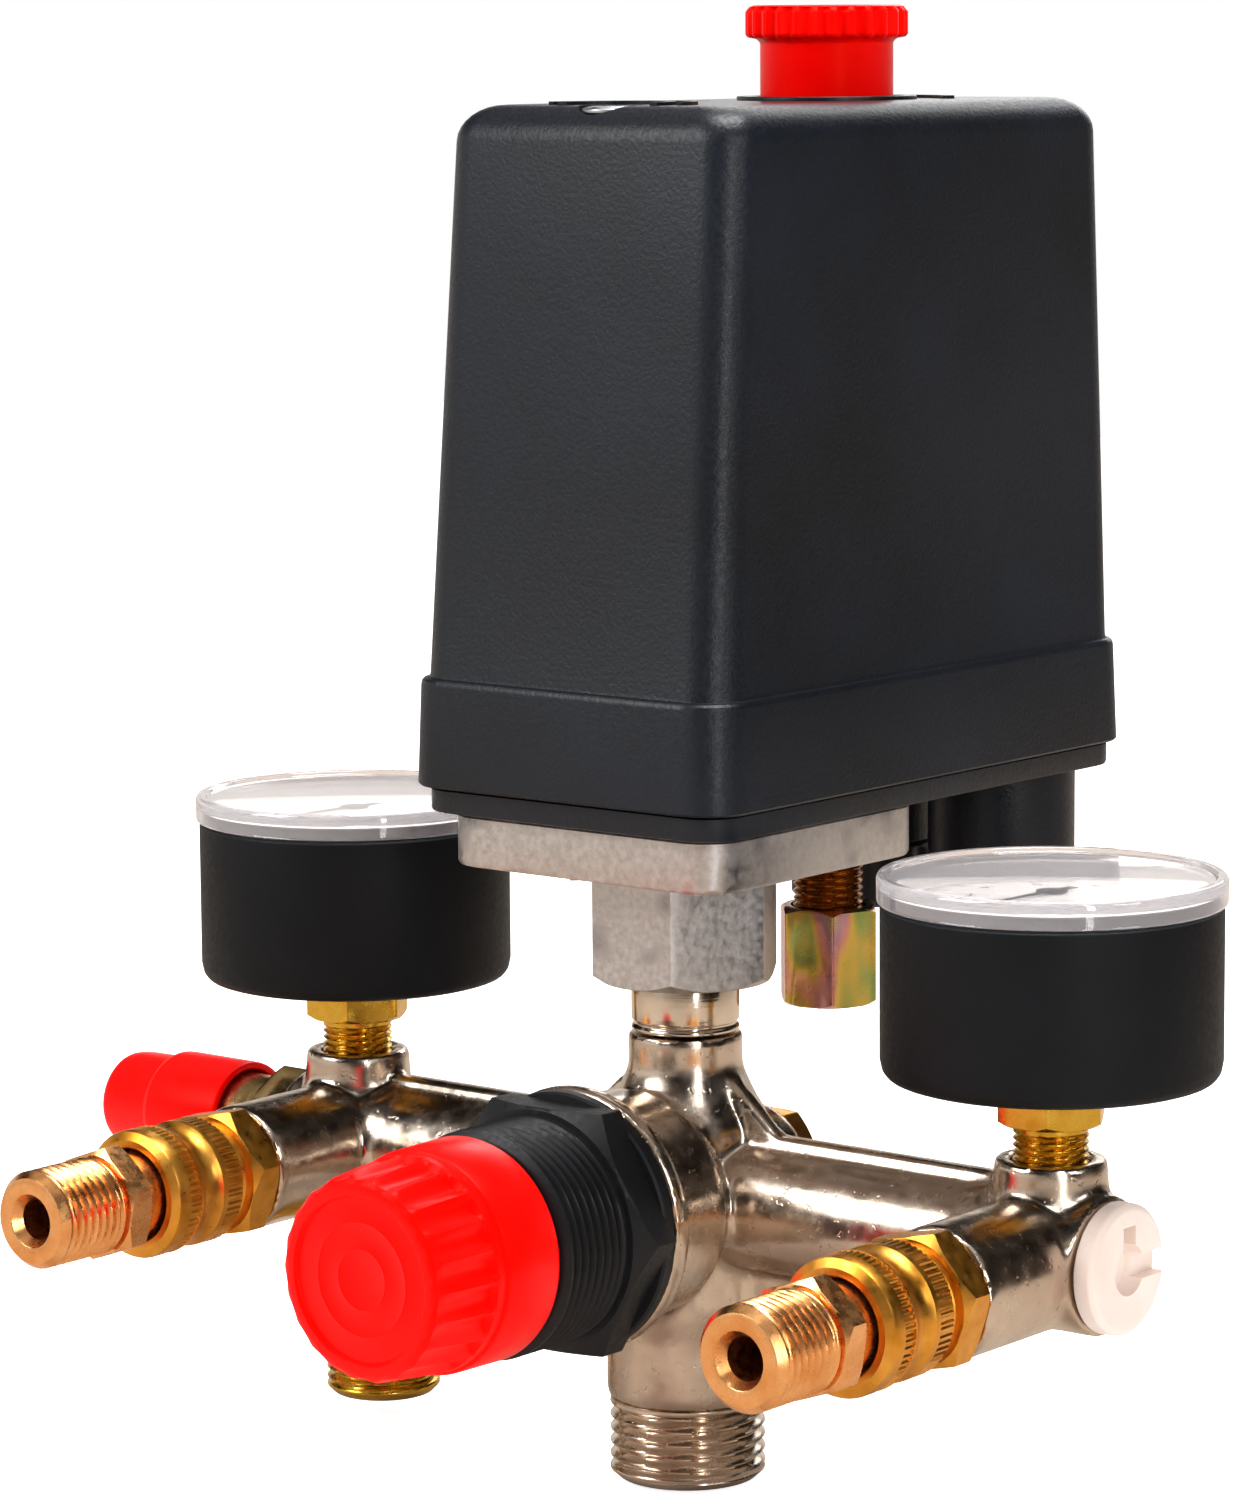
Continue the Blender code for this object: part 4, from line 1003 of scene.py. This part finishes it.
def combine_all(piece, operation, tools):
    """One Boolean with many tools at once, which stays cleaner than one after another."""
    group = bpy.data.collections.new(f"{piece.name}_{operation.lower()}")
    bpy.context.scene.collection.children.link(group)
    for tool in tools:
        for holder in tool.users_collection:
            holder.objects.unlink(tool)
        group.objects.link(tool)
    modify(piece, "BOOLEAN", operation=operation, solver="EXACT", operand_type="COLLECTION",
           collection=group)
    for tool in tools:
        bpy.data.objects.remove(tool)
    bpy.data.collections.remove(group)
    return piece


combine_all(casting, "UNION", lumps)
combine_all(casting, "DIFFERENCE", cuts)
modify(casting, "REMESH", mode="VOXEL", voxel_size=NET_SIZE * MM)
edit_all()
bpy.ops.mesh.vertices_smooth(factor=0.5, repeat=3)
bpy.ops.object.mode_set(mode="OBJECT")
print("casting net:", len(casting.data.polygons), "faces")

# %% [markdown]
# The tank thread is a G 1/2 pipe thread, with 14 turns to the inch. A Screw modifier could
# wind it, but its ends would have to be trimmed and closed. Here a plain turned end with
# many rings is pressed in along a helix, so the skin stays closed and the ends fade out.

# %% Machine the tank thread
TANK_R, TANK_PITCH = 10.4775, 1.814
tank_end = ([(8.0, 0.0), (TANK_R - 1.1, 0.0), (TANK_R, 1.0)]
            + rows(TANK_R, 1.1, 11.0, TANK_PITCH, 9)[:-1]
            + [(TANK_R, 11.0), (10.0, 11.1), (10.0, 11.7), (10.4, 12.1), (8.0, 12.1)])
tank_thread = reshape(lathe("tank_thread", tank_end, 96, loop=True, round_mm=0.15),
                      thread(TANK_R, 1.0, 11.0, TANK_PITCH, 0.95))
combine(casting, "UNION", tank_thread)
show(casting, nickel, "root", "manifold_body", angle=40)

# %% [markdown]
# ## The fittings in the manifold's lower and right ends
# The lower outlet is a threaded yellow brass nipple. The right end of the bar is closed by a
# plug of natural nylon, with a keyhole-shaped recess for the key that screws it in.


# %% Build the lower nipple and the plug
LOWER_R = 8.0
lower_outline = ([(4.9, 2.6), (LOWER_R - 1, 2.6), (LOWER_R, 3.6)] + rows(LOWER_R, 3.9, 17.2,
                                                                         PIPE_PITCH)
                 + [(LOWER_R, 18.0), (8.6, 18.5), (8.6, 23.7), (PIPE_QUARTER_R, 23.7),
                    (PIPE_QUARTER_R, 31.2), (4.0, 31.2), (4.0, 3.6)])
lower_nipple = reshape(lathe("lower_nipple", lower_outline, 80, loop=True, round_mm=0.15),
                       thread(LOWER_R, 3.8, 17.3, PIPE_PITCH, 0.75))
show(place(lower_nipple, at=(LOWER_X, 0, 0)), brass_z, "root", "lower_outlet_nipple")

plug_end = [(0, 71), (7.7, 71), (8.45, 70.4), (8.45, 68.1), (PIPE_QUARTER_R, 68.1),
            (PIPE_QUARTER_R, 58), (0, 58)]
plug = place(lathe("nylon_plug", plug_end, 72), TO_RIGHT, (0, 0, BAR_Z))
key_outline = [(0, 68.4), (2.9, 68.4), (3.3, 69.0), (3.3, 73), (0, 73)]
keyhole = place(lathe("keyhole", key_outline, 40, round_mm=0), TO_RIGHT, (0, 0, BAR_Z))
combine(plug, "DIFFERENCE", keyhole, bar("keyway", (69.0, 73), (0, 9.6),
                                         (BAR_Z - 1.6, BAR_Z + 1.6)),
        bar("key_arm", (68.8, 73), (-1.4, 1.4), (BAR_Z, BAR_Z + 5.6)))
show(plug, white_nylon, "root", "blanking_plug")

# %% [markdown]
# ## The relief valve
# The spring-loaded valve in the left end has a turned brass body with a hexagon. Its red cap
# is pulled off its seat to let the air out. The cap is an open cup with a step round it.

# %% Build the relief valve
HEX_LOW, HEX_HIGH = 68.1, 74.0


def hollow_hexagon(name, across, low, high, hole, chamfers=(True, True), quarter_turn=0.0):
    """A hexagon collar with a round hole through it."""
    return combine(hexagon(name, across, low, high, chamfers, quarter_turn), "DIFFERENCE",
                   bore(hole, low - 1, high + 1, steps=52))


valve_outline = [(4.8, 92), (6.3, 92), (6.6, 91.7), (6.6, 67.6), (PIPE_QUARTER_R, 58), (2, 58),
                 (2, 72.7), (4.8, 72.7)]
valve = lathe("relief_valve", valve_outline, loop=True, round_mm=0.2)
combine(valve, "UNION", hollow_hexagon("valve_hexagon", 15.0, HEX_LOW, HEX_HIGH, 5.4))
show(place(valve, TO_LEFT, (0, 0, BAR_Z)), brass_x, "root", "safety_valve_body")

cap_outline = [(2.3, 104.6), (5.2, 104.6), (6.9, 103.0), (7.2, 100.5), (7.25, 94.4), (7.9, 93.9),
               (8.2, 93.2), (8.2, 80), (7.1, 80), (7.1, 92.6), (4.8, 93.2), (4.6, 93.6),
               (4.6, 102.6), (2.3, 102.6)]
cap = lathe("relief_cap", cap_outline, 72, loop=True, round_mm=0.6)
show(place(cap, TO_LEFT, (0, 0, BAR_Z)), red_abs, "relief_pull", "safety_valve_cap")

# %% [markdown]
# ## The regulator
# The bonnet is a black nylon ring with a hexagon, a threaded skirt and a thin flange that
# clamps the diaphragm. The red knob has a plain rear band and a fluted front. Each flute ends
# in a wall at the back and runs out at the front face, so its depth follows from where the
# floor lies rather than being constant.


# %% Build the bonnet
BONNET_R, BONNET_PITCH = 15.0, 1.5
bonnet_outline = ([(4.4, 51), (10.3, 51), (10.5, 50.6), (10.5, 43), (13.7, 43), (14.2, 42.8)]
                  + [(BONNET_R, 42.3)] + rows(BONNET_R, 42.1, 31.4, BONNET_PITCH, 9)
                  + [(BONNET_R, 31.2), (BONNET_R, 26), (16.9, 26), (17.2, 25.7), (17.2, 24.3),
                     (13.1, 24.3),
                     (13.1, 17.8), (9.6, 17.8), (9.6, 40), (4.4, 40)])
bonnet = reshape(lathe("diaphragm_bonnet", bonnet_outline, 96, loop=True, round_mm=0),
                 thread(BONNET_R, 31.3, 42.2, BONNET_PITCH, 1.0))
combine(bonnet, "UNION", hollow_hexagon("bonnet_hexagon", 32.0, 25.2, 31.0, 12.0, (False, True)))
show(place(bonnet, TO_FRONT, (0, 0, REGULATOR_Z)), black_nylon, "root", "regulator_bonnet",
     angle=32)

# %% [markdown]
# The knob's flutes are too deep and too steep for the general flute rule, so the knob has a
# rule of its own. Extra rings near the wall at the back of the flutes keep that wall crisp.

# %% Build the regulator knob
FLUTES, FLUTE_WALL, KNOB_FACE = 22, 56.0, 66.0


def knob_flute(r, angle, z):
    """Round-floored flutes between narrow ribs; the floor is nearly level, the ribs slope."""
    if not FLUTE_WALL < z < KNOB_FACE - 0.2 or r < 12.4:
        return r
    phase = (angle / math.tau * FLUTES) % 1.0
    across = min(1.0, max(0.0, 1.6 * (1 - abs(2 * phase - 1)) - 0.25))
    floor = 12.95 - 0.25 * (z - FLUTE_WALL) / (KNOB_FACE - FLUTE_WALL)
    return r - max(0.0, r - floor) * across ** 0.7


band = [(14.7, 44.9), (14.55, 53.6), (14.4, 53.9), (14.05, 54.1)]
ribs = [(14.05 - 0.85 * t ** 1.5, 54.3 + 10.6 * t) for t in [i / 18 for i in range(19)]]
ribs = [point for point in ribs if abs(point[1] - FLUTE_WALL) > 0.3]
ribs += [(14.0, FLUTE_WALL), (13.98, FLUTE_WALL + 0.25)]
ribs.sort(key=lambda point: point[1])
face = [(12.9, 65.5), (12.3, 65.9), (11.7, KNOB_FACE), (11.0, KNOB_FACE), (10.7, 65.75),
        (10.5, 65.4),
        (7.6, 65.4), (7.3, 65.5), (7.0, 65.4), (4.2, 65.4), (3.9, 65.5), (3.6, 65.4), (0, 65.4)]
regulator = ([(0, 61.5), (5.7, 61.5), (5.7, 54), (11.2, 54), (11.2, 44.2), (11.5, 44), (14.3, 44)]
             + band + ribs + face)
regulator_knob = reshape(lathe("pressure_knob", regulator, FLUTES * 8, round_mm=0), knob_flute)
show(place(regulator_knob, TO_FRONT, (0, 0, REGULATOR_Z)), red_abs, "regulator_knob",
     "regulator_knob",
     angle=30)

back_outline = [(0, -7.3), (4.7, -7.3), (4.7, -15.3), (8.2, -15.3), (8.2, -16.5), (0, -16.5)]
back_plug = lathe("valve_seat_plug", back_outline, round_mm=0.2)
combine(back_plug, "UNION", hexagon("plug_hexagon", 15.0, -20.0, -16.2, (True, False)))
combine(back_plug, "DIFFERENCE", bore(2.2, -12, -6, steps=30))
show(place(back_plug, TO_FRONT, (0, 0, REGULATOR_Z)), brass_y, "root", "valve_plug")

# %% [markdown]
# ## The pressure gauges
# A gauge is a black enamelled steel cup on a brass connection, with a white dial, a pointer
# and a clear window that snaps over its rim. The dial print is real geometry a few hundredths
# of a millimetre thick: one tick is modelled and copied round, and the figures are text that
# is turned into a mesh before it is placed. The scale reads upright from the side of the
# knobs, so it starts at the front and runs clockwise as seen from above.

# %% Build one gauge at the origin
CASE_LOW, CASE_TOP = ends("gauge_case_right", Z)
DIAL_TOP = ends("gauge_dial_right", Z)[1]
LENS_TOP = ends("gauge_lens_right", Z)[1]
case_outline = [(20.2, CASE_TOP), (21.0, CASE_TOP), (21.0, 84), (21.6, 84), (21.75, 83.8),
                (21.75, 64.4), (21.45, 62.9), (20.8, 62.1), (19.6, CASE_LOW), (5.3, CASE_LOW),
                (5.3, 62.9), (20.2, 62.9)]
gauge_case = lathe("gauge_cup", case_outline, 112, loop=True, round_mm=0.35)
dial_outline = [(1.2, 80.2), (20.1, 80.2), (20.1, CASE_TOP - 0.1), (19.75, CASE_TOP - 0.1),
                (19.75, DIAL_TOP + 0.4), (19.35, DIAL_TOP), (1.2, DIAL_TOP)]
dial = lathe("dial_plate", dial_outline, 96, loop=True, round_mm=0)
window_outline = [(0, 86.4), (21.3, 86.4), (21.3, 84.4), (22.0, 84.4), (22.2, 84.7), (22.2, 87.5),
                  (21.9, LENS_TOP), (20.9, LENS_TOP), (20.5, 87.4), (0, 87.4)]
window = lathe("clear_window", window_outline, 112, round_mm=0.2)
needle_outline = [(0, 77), (0.8, 77), (0.8, 81.6), (2.2, 81.6), (2.2, 82.7), (1.7, 83), (0, 83)]
needle = lathe("needle", needle_outline, 48, round_mm=0.15)
blade = bar("blade", (-0.7, 0.7), (-15.5, 5.5), (82.0, 82.55))
for vert in blade.data.vertices:
    if vert.co.y < 0:
        vert.co.x *= 0.3
combine(needle, "UNION", blade)
STEM_LOW, STEM_TOP = 45.2, 76.0
THREAD_END, HEX_TOP = 56.0, CASE_LOW - 0.3
STEM_R, GAUGE_PITCH = 4.86, 0.907    # a G 1/8 pipe thread, with 28 turns to the inch
stem_outline = ([(1.2, STEM_LOW), (4.5, STEM_LOW), (STEM_R, STEM_LOW + 0.4)]
                + rows(STEM_R, STEM_LOW + 0.6, THREAD_END - 0.8, GAUGE_PITCH, 7)
                + [(STEM_R, THREAD_END - 0.7), (STEM_R, STEM_TOP), (0, STEM_TOP), (0, STEM_TOP - 2),
                   (1.2, STEM_TOP - 2)])
stem = reshape(lathe("gauge_connection", stem_outline, 60, round_mm=0),
               thread(STEM_R, STEM_LOW + 0.5, THREAD_END - 0.75, GAUGE_PITCH, 0.5))
combine(stem, "UNION", hollow_hexagon("stem_hexagon", 13.0, THREAD_END, HEX_TOP, 3.6))
print("gauge turned parts ready, case", round(CASE_TOP - CASE_LOW, 2), "mm high")

# %% [markdown]
# The dial's scale covers three quarters of a turn. Every fifth tick is long and thick, and
# every tenth has a figure. All the marks are joined into one piece, which is copied with the
# rest of the gauge.

# %% Print the dial
SCALE_MAX, SWEEP, SCALE_START = 12, math.radians(270), math.radians(-90)
READING_TURN = math.radians(45)
INK = (DIAL_TOP - 0.05, DIAL_TOP + 0.05)


def on_scale(value):
    """The angle of a pressure on the dial, in bar."""
    return SCALE_START - SWEEP * value / SCALE_MAX


marks = []
long_tick = bar("long_tick", (14.9, 18.4), (-0.22, 0.22), INK)
short_tick = bar("short_tick", (16.6, 18.4), (-0.11, 0.11), INK)
for step in range(SCALE_MAX * 5 + 1):
    pattern = long_tick if step % 5 == 0 else short_tick
    marks.append(place(twin(pattern, f"tick_{step}"), turn=(0, 0, on_scale(step / 5))))
bpy.data.objects.remove(long_tick)
bpy.data.objects.remove(short_tick)
marks.append(arc_bar("scale_line", 18.3, 0.18, DIAL_TOP - 0.05, DIAL_TOP + 0.04, 0, SWEEP))
captions = [(str(value), 11.6, on_scale(value), 3.6) for value in range(0, SCALE_MAX + 1, 2)]
captions += [("bar", 8.6, READING_TURN - math.pi / 2, 3.0)]
for text, distance, angle, size in captions:
    bpy.ops.object.select_all(action="DESELECT")
    bpy.ops.object.text_add(location=(0, 0, 0))
    figure = bpy.context.object
    figure.name = f"figure_{text}"
    figure.data.body, figure.data.size, figure.data.extrude = text, size * MM, 0.04 * MM
    figure.data.align_x, figure.data.align_y = "CENTER", "CENTER"
    bpy.ops.object.convert(target="MESH")
    spot = (distance * math.cos(angle), distance * math.sin(angle), DIAL_TOP)
    marks.append(place(figure, (0, 0, READING_TURN), spot))
alone(*marks)
bpy.ops.object.join()
dial_print = newest("dial_print")
print("dial print:", len(dial_print.data.polygons), "faces")

# %% [markdown]
# Each gauge stands over one outlet. Its pointer rides on a body of its own, so it turns when
# the pressure rises, and everything else stays with the manifold.

# %% Place the two gauges
fit_both_sides([(gauge_case, black_paint, "gauge_case", "root"),
                (dial, white_paint, "gauge_dial", "root"),
                (window, clear_lens, "gauge_lens", "root"),
                (stem, brass_z, "gauge_stem", "root"),
                (needle, black_paint, "gauge_pointer", "pointer_{}"),
                (dial_print, black_paint, None, "root")], UP, (PORT_X, 0, 0), 32)

# %% [markdown]
# ## The quick couplers
# Each outlet carries a brass quick coupler: a body with a hexagon, a sliding sleeve with two
# knurled bands and a waist, and a threaded plug held by it. Straight knurling is rolled in as
# fine grooves along the part. There are 60 here, somewhat coarser than the real rolling, so
# that each groove stays a clear shape and does not shimmer.

# %% Build one coupler
body_outline = [(4.6, 41.9), (6.4, 41.9), (6.6, 41.6), (6.6, 36), (7.3, 36), (7.4, 35.8),
                (7.4, 32.3),
                (7.1, 32.0), (7.1, 31.6), (7.4, 31.3), (7.4, 25.8), (PIPE_QUARTER_R, 25.8),
                (PIPE_QUARTER_R, 15), (2.5, 15), (2.5, 27), (4.6, 27)]
coupler_body = lathe("coupler_shell", body_outline, 72, loop=True, round_mm=0)
combine(coupler_body, "UNION",
        hollow_hexagon("coupler_hexagon", 16.5, 25.8, 30.6, 6.0, quarter_turn=0.2))

KNURLS, KNURL_DEPTH = 60, 0.24
waist = [(8.6 - 0.75 * math.sin(math.pi * t) ** 0.8 + 0.1 * t, 36.9 + 4.1 * t)
         for t in [i / 12 for i in range(13)]]
REAR_BAND, FRONT_BAND = (8.6, 33.2, 36.0), (8.7, 41.4, 43.4)     # radius, start, stop
sleeve_outline = ([(7.7, 32.9), (8.3, 32.9), (8.35, 33.15), (8.6, 33.2), (8.6, 36.0), (8.62, 36.05),
                   (8.62, 36.6)] + waist
                  + [(8.75, 41.3), (8.75, 41.35), (8.7, 41.4), (8.7, 43.4), (8.75, 43.45),
                     (8.75, 45.0), (8.6, 45.4), (7.5, 46.0), (6.6, 46.0), (6.4, 45.8), (6.4, 44.3),
                     (6.9, 44.3), (6.9, 38.5), (7.7, 38.5)])
sleeve = lathe("coupler_ring", sleeve_outline, KNURLS * 4, loop=True, round_mm=0)
for knurled_band in (REAR_BAND, FRONT_BAND):
    reshape(sleeve, serration(*knurled_band, KNURLS, KNURL_DEPTH))

plug_outline = ([(2.75, 63.6), (3.6, 64.9), (3.8, 65.0), (5.5, 65.0), (5.75, 64.9),
                 (PIPE_QUARTER_R, 63.9)]
                + rows(PIPE_QUARTER_R, 63.7, 53.8, PIPE_PITCH, 9)
                + [(PIPE_QUARTER_R, 53.7), (6.3, 53.4), (5.9, 53.2), (5.9, 42.5), (5.7, 42.3),
                   (4.2, 42.3), (4.2, 29.8), (3.9, 29.5), (2.75, 29.5)])
coupler_plug = reshape(lathe("coupler_plug", plug_outline, 80, loop=True, round_mm=0),
                       thread(PIPE_QUARTER_R, 53.75, 63.75, PIPE_PITCH, 0.8))
combine(coupler_plug, "UNION",
        hollow_hexagon("plug_hex", 13.8, 49.0, 53.0, 4.0, quarter_turn=0.35))
print("coupler turned parts ready,", KNURLS, "grooves in each knurled band")

# %% [markdown]
# The body is screwed into the outlet and stays there. The sleeve slides back on it, and the
# threaded plug pulls out to the front, so those two ride on bodies of their own.

# %% Place the two couplers
fit_both_sides([(coupler_body, brass_y, "coupler_body", "root"),
                (sleeve, brass_y, "coupler_sleeve", "sleeve_{}"),
                (coupler_plug, pale_brass_y, "coupler_nipple", "nipple_{}")],
               TO_FRONT, (PORT_X, 0, BAR_Z), 28)

# %% [markdown]
# ## The unloader valve
# Beside the neck hangs the small valve that lets the trapped air out when the motor stops.
# It is a browned brass tube with a thread along its whole length, and a long hexagon nut
# with a rainbow-coloured passivation.

# %% Build the unloader
TUBE_R, TUBE_PITCH = 4.85, 1.0
unloader_outline = ([(3.1, 64), (4.4, 64), (TUBE_R, 64.5)] + rows(TUBE_R, 64.8, 94.6, TUBE_PITCH, 7)
                    + [(TUBE_R, 95), (6.6, 95), (6.6, 98), (1.9, 98), (1.9, 86), (3.1, 86)])
unloader = reshape(lathe("unloader_tube", unloader_outline, 64, loop=True, round_mm=0),
                   thread(TUBE_R, 64.6, 94.7, TUBE_PITCH, 0.5))
show(place(unloader, at=(0, KNOB_Y, 0)), brown_brass, "root", "unloader_body")
NUT_BOTTOM, NUT_TOP = ends("unloader_nut", Z)
nut = hexagon("unloader_hexagon", 12.6, NUT_BOTTOM, NUT_TOP, quarter_turn=math.radians(12))
combine(nut, "DIFFERENCE", bore(5.2, NUT_BOTTOM + 2, NUT_TOP + 1, steps=56),
        bore(3.2, NUT_BOTTOM - 1, NUT_BOTTOM + 3, steps=44))
show(place(nut, at=(0, KNOB_Y, 0)), yellow_zinc, "root", "unloader_nut")

# %% [markdown]
# ## The working parts inside
# The levers, contacts and diaphragms stay as the imported model has them. They show only when
# the cover is lifted away, so they need the right surfaces but no new shapes. Three springs
# that their joints squeeze are wound again as plain coils, which ride on the manifold's body.

# %% Wind the three springs that are squeezed
def coil(name, start, stop, radius, wire, turns, turn, at):
    """A helical spring: a small circle swept by a Screw modifier, its two ends closed."""
    bpy.ops.object.select_all(action="DESELECT")
    bpy.ops.mesh.primitive_circle_add(vertices=12, radius=wire * MM, rotation=(math.pi / 2, 0, 0),
                                      location=(radius * MM, 0, (start + wire) * MM))
    spring = newest(name)
    settle()
    modify(spring, "SCREW", screw_offset=(stop - start - 2 * wire) / turns * MM, iterations=turns,
           steps=40, render_steps=40)
    edit_all()
    bpy.ops.mesh.fill_holes(sides=0)
    face_outwards()
    return place(spring, turn, at)


# name, the part it replaces, its joint, ends, coil radius, wire radius, turns, direction, fixed end
windings = [
    ("pressure_coil", "regulator_spring", "spring_plate_travel", 17.9, 30.7, 7.0, 0.9, 4, TO_FRONT,
     (0, 0, REGULATOR_Z), (0, -17.9, REGULATOR_Z)),
    ("poppet_coil", "poppet_spring", "poppet_lift", -7.0, 2.4, 3.2, 0.4, 4, TO_FRONT,
     (0, 0, REGULATOR_Z), (0, 7.0, REGULATOR_Z)),
    ("relief_coil", "safety_valve_spring", "relief_slide", 76.3, 88.0, 3.5, 0.5, 5, TO_LEFT,
     (0, 0, BAR_Z), (-88.0, 0, BAR_Z)),
]
for name, node, joint, start, stop, radius, wire, turns, turn, at, anchor in windings:
    spring = coil(name, start, stop, radius, wire, turns, turn, at)
    show(spring, steel, "root", node)
    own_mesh(spring)

# %% [markdown]
# ## Materials on the parts that stay
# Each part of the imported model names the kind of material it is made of, so a table from that
# name to a material dresses all of them in one loop.

# %% Materials on the parts that stay
by_slot = {material["slot"]: material for material in (
    black_abs, red_abs, black_nylon, white_nylon, bakelite, rubber, black_paint, white_paint,
    nickel,
    brass_z, steel, copper, cast_zinc, yellow_zinc, clear_lens)}
turned_along_y = {"regulator_poppet", "valve_plug"}
for part in frame["record"]["subparts"]:
    name = part["node"]
    material = brass_y if name in turned_along_y else by_slot[part["material_slot"]]
    for holder in frame["nodes"][name].material_slots:
        holder.material = material
print("materials on", len(frame["nodes"]), "packed parts")

# %% [markdown]
# ## Light, room and floor
# Bright metal shows its room, so the room matters more than the lamps. A product studio is a
# white box with dark gaps: the metal needs the dark to look like metal. The world below is
# plain white to the camera and soft white to matt surfaces, but mirror-like rays see a bright
# horizon, a dark brown band above it and a paler ceiling. Four soft lamps, one tall strip
# for the edge of the housing and a pale floor do the rest.


# %% Build the room
def studio_world():
    """A white room whose reflections have a dark band above the horizon."""
    world = bpy.context.scene.world or bpy.data.worlds.new("studio")
    bpy.context.scene.world = world
    world.use_nodes = True
    tree = world.node_tree
    tree.nodes.clear()
    way = add(tree, "ShaderNodeTexCoord")["Generated"]
    split = add(tree, "ShaderNodeSeparateXYZ", links={"Vector": way})
    level = add(tree, "ShaderNodeMapRange", {"From Min": -1.0, "From Max": 1.0},
                {"Value": split["Z"]})["Result"]
    lit_side = add(tree, "ShaderNodeValToRGB", {"stops": [
        (0.00, "#a89c90"), (0.47, "#c8bcb0"), (0.53, "#f4efe9"), (0.60, "#e6ddd2"),
        (0.64, "#3a2a1c"), (0.80, "#1c140e"), (0.88, "#8d857c"), (1.00, "#d5d0ca")]},
        {"Fac": level})["Color"]
    dark_side = add(tree, "ShaderNodeValToRGB", {"stops": [
        (0.00, "#8a8078"), (0.46, "#9a9088"), (0.52, "#4a4038"), (0.58, "#2a221b"),
        (0.70, "#15100c"), (0.80, "#1c140e"), (0.90, "#8d857c"), (1.00, "#d5d0ca")]},
        {"Fac": level})["Color"]
    sideways = add(tree, "ShaderNodeMapRange", {"From Min": -0.3, "From Max": 0.5},
                   {"Value": split["X"]})["Result"]
    seen = add(tree, "ShaderNodeMix", {"data_type": "RGBA"},
               {0: sideways, 6: lit_side, 7: dark_side})[2]
    rays = add(tree, "ShaderNodeLightPath")
    soft = add(tree, "ShaderNodeMix", {"data_type": "RGBA", 6: colour("#c4c4c8")},
               {0: rays["Is Glossy Ray"], 7: seen})[2]
    final = add(tree, "ShaderNodeMix", {"data_type": "RGBA", 7: colour("#ffffff")},
                {0: rays["Is Camera Ray"], 6: soft})[2]
    background = add(tree, "ShaderNodeBackground", {"Strength": 1.0}, {"Color": final})[0]
    add(tree, "ShaderNodeOutputWorld", links={"Surface": background})
    print("world nodes:", len(tree.nodes))


def lamp(name, at, size, watts, tall=None, aim=(0, 0, 0.1)):
    """A soft lamp that looks at the middle of the object; a strip if tall is given."""
    way = Vector(aim) - Vector(at)
    bpy.ops.object.select_all(action="DESELECT")
    bpy.ops.object.light_add(type="AREA", location=at,
                             rotation=way.to_track_quat("-Z", "Y").to_euler())
    made = bpy.context.object
    made.name = name
    made.data.shape, made.data.size, made.data.energy = "RECTANGLE", size, watts
    made.data.size_y = tall or size


def studio_paper():
    """Pale paper, exposed almost to white for the camera and greyer in reflections."""
    made, tree, shader, _ = start_material("pale_studio_paper", "none", {
        "Roughness": 0.8, "Specular IOR Level": 0.1, "Emission Color": colour("#ffffff")})
    rays = add(tree, "ShaderNodeLightPath")
    tint = add(tree, "ShaderNodeMix", {"data_type": "RGBA", 6: colour("#f2f2f2"),
                                       7: colour("#b5a798")}, {0: rays["Is Glossy Ray"]})[2]
    glow = add(tree, "ShaderNodeMath", {"operation": "MULTIPLY", 1: 0.85},
               {0: rays["Is Camera Ray"]})[0]
    drive(tree, shader, {"Base Color": tint, "Emission Strength": glow})
    return made


studio_world()
lamp("key_lamp", (-0.45, -0.75, 0.65), 0.5, 6.5)
lamp("top_lamp", (0.05, 0.10, 0.85), 0.4, 7.0)
lamp("right_lamp", (0.85, -0.05, 0.45), 0.25, 1.0)
lamp("corner_strip", (0.72, -0.40, 0.34), 0.07, 2.2, tall=0.7, aim=(0, 0, 0.2))
lamp("back_lamp", (-0.3, 0.8, 0.6), 0.6, 3.5)

bpy.ops.object.select_all(action="DESELECT")
bpy.ops.mesh.primitive_plane_add(size=3, location=(0, 0, -0.5 * MM))   # just clear of the thread
floor = bpy.context.object
floor.name = "studio_floor"
floor.data.materials.append(studio_paper())
bpy.context.scene.view_settings.view_transform = "Standard"
print("lamps and floor ready")
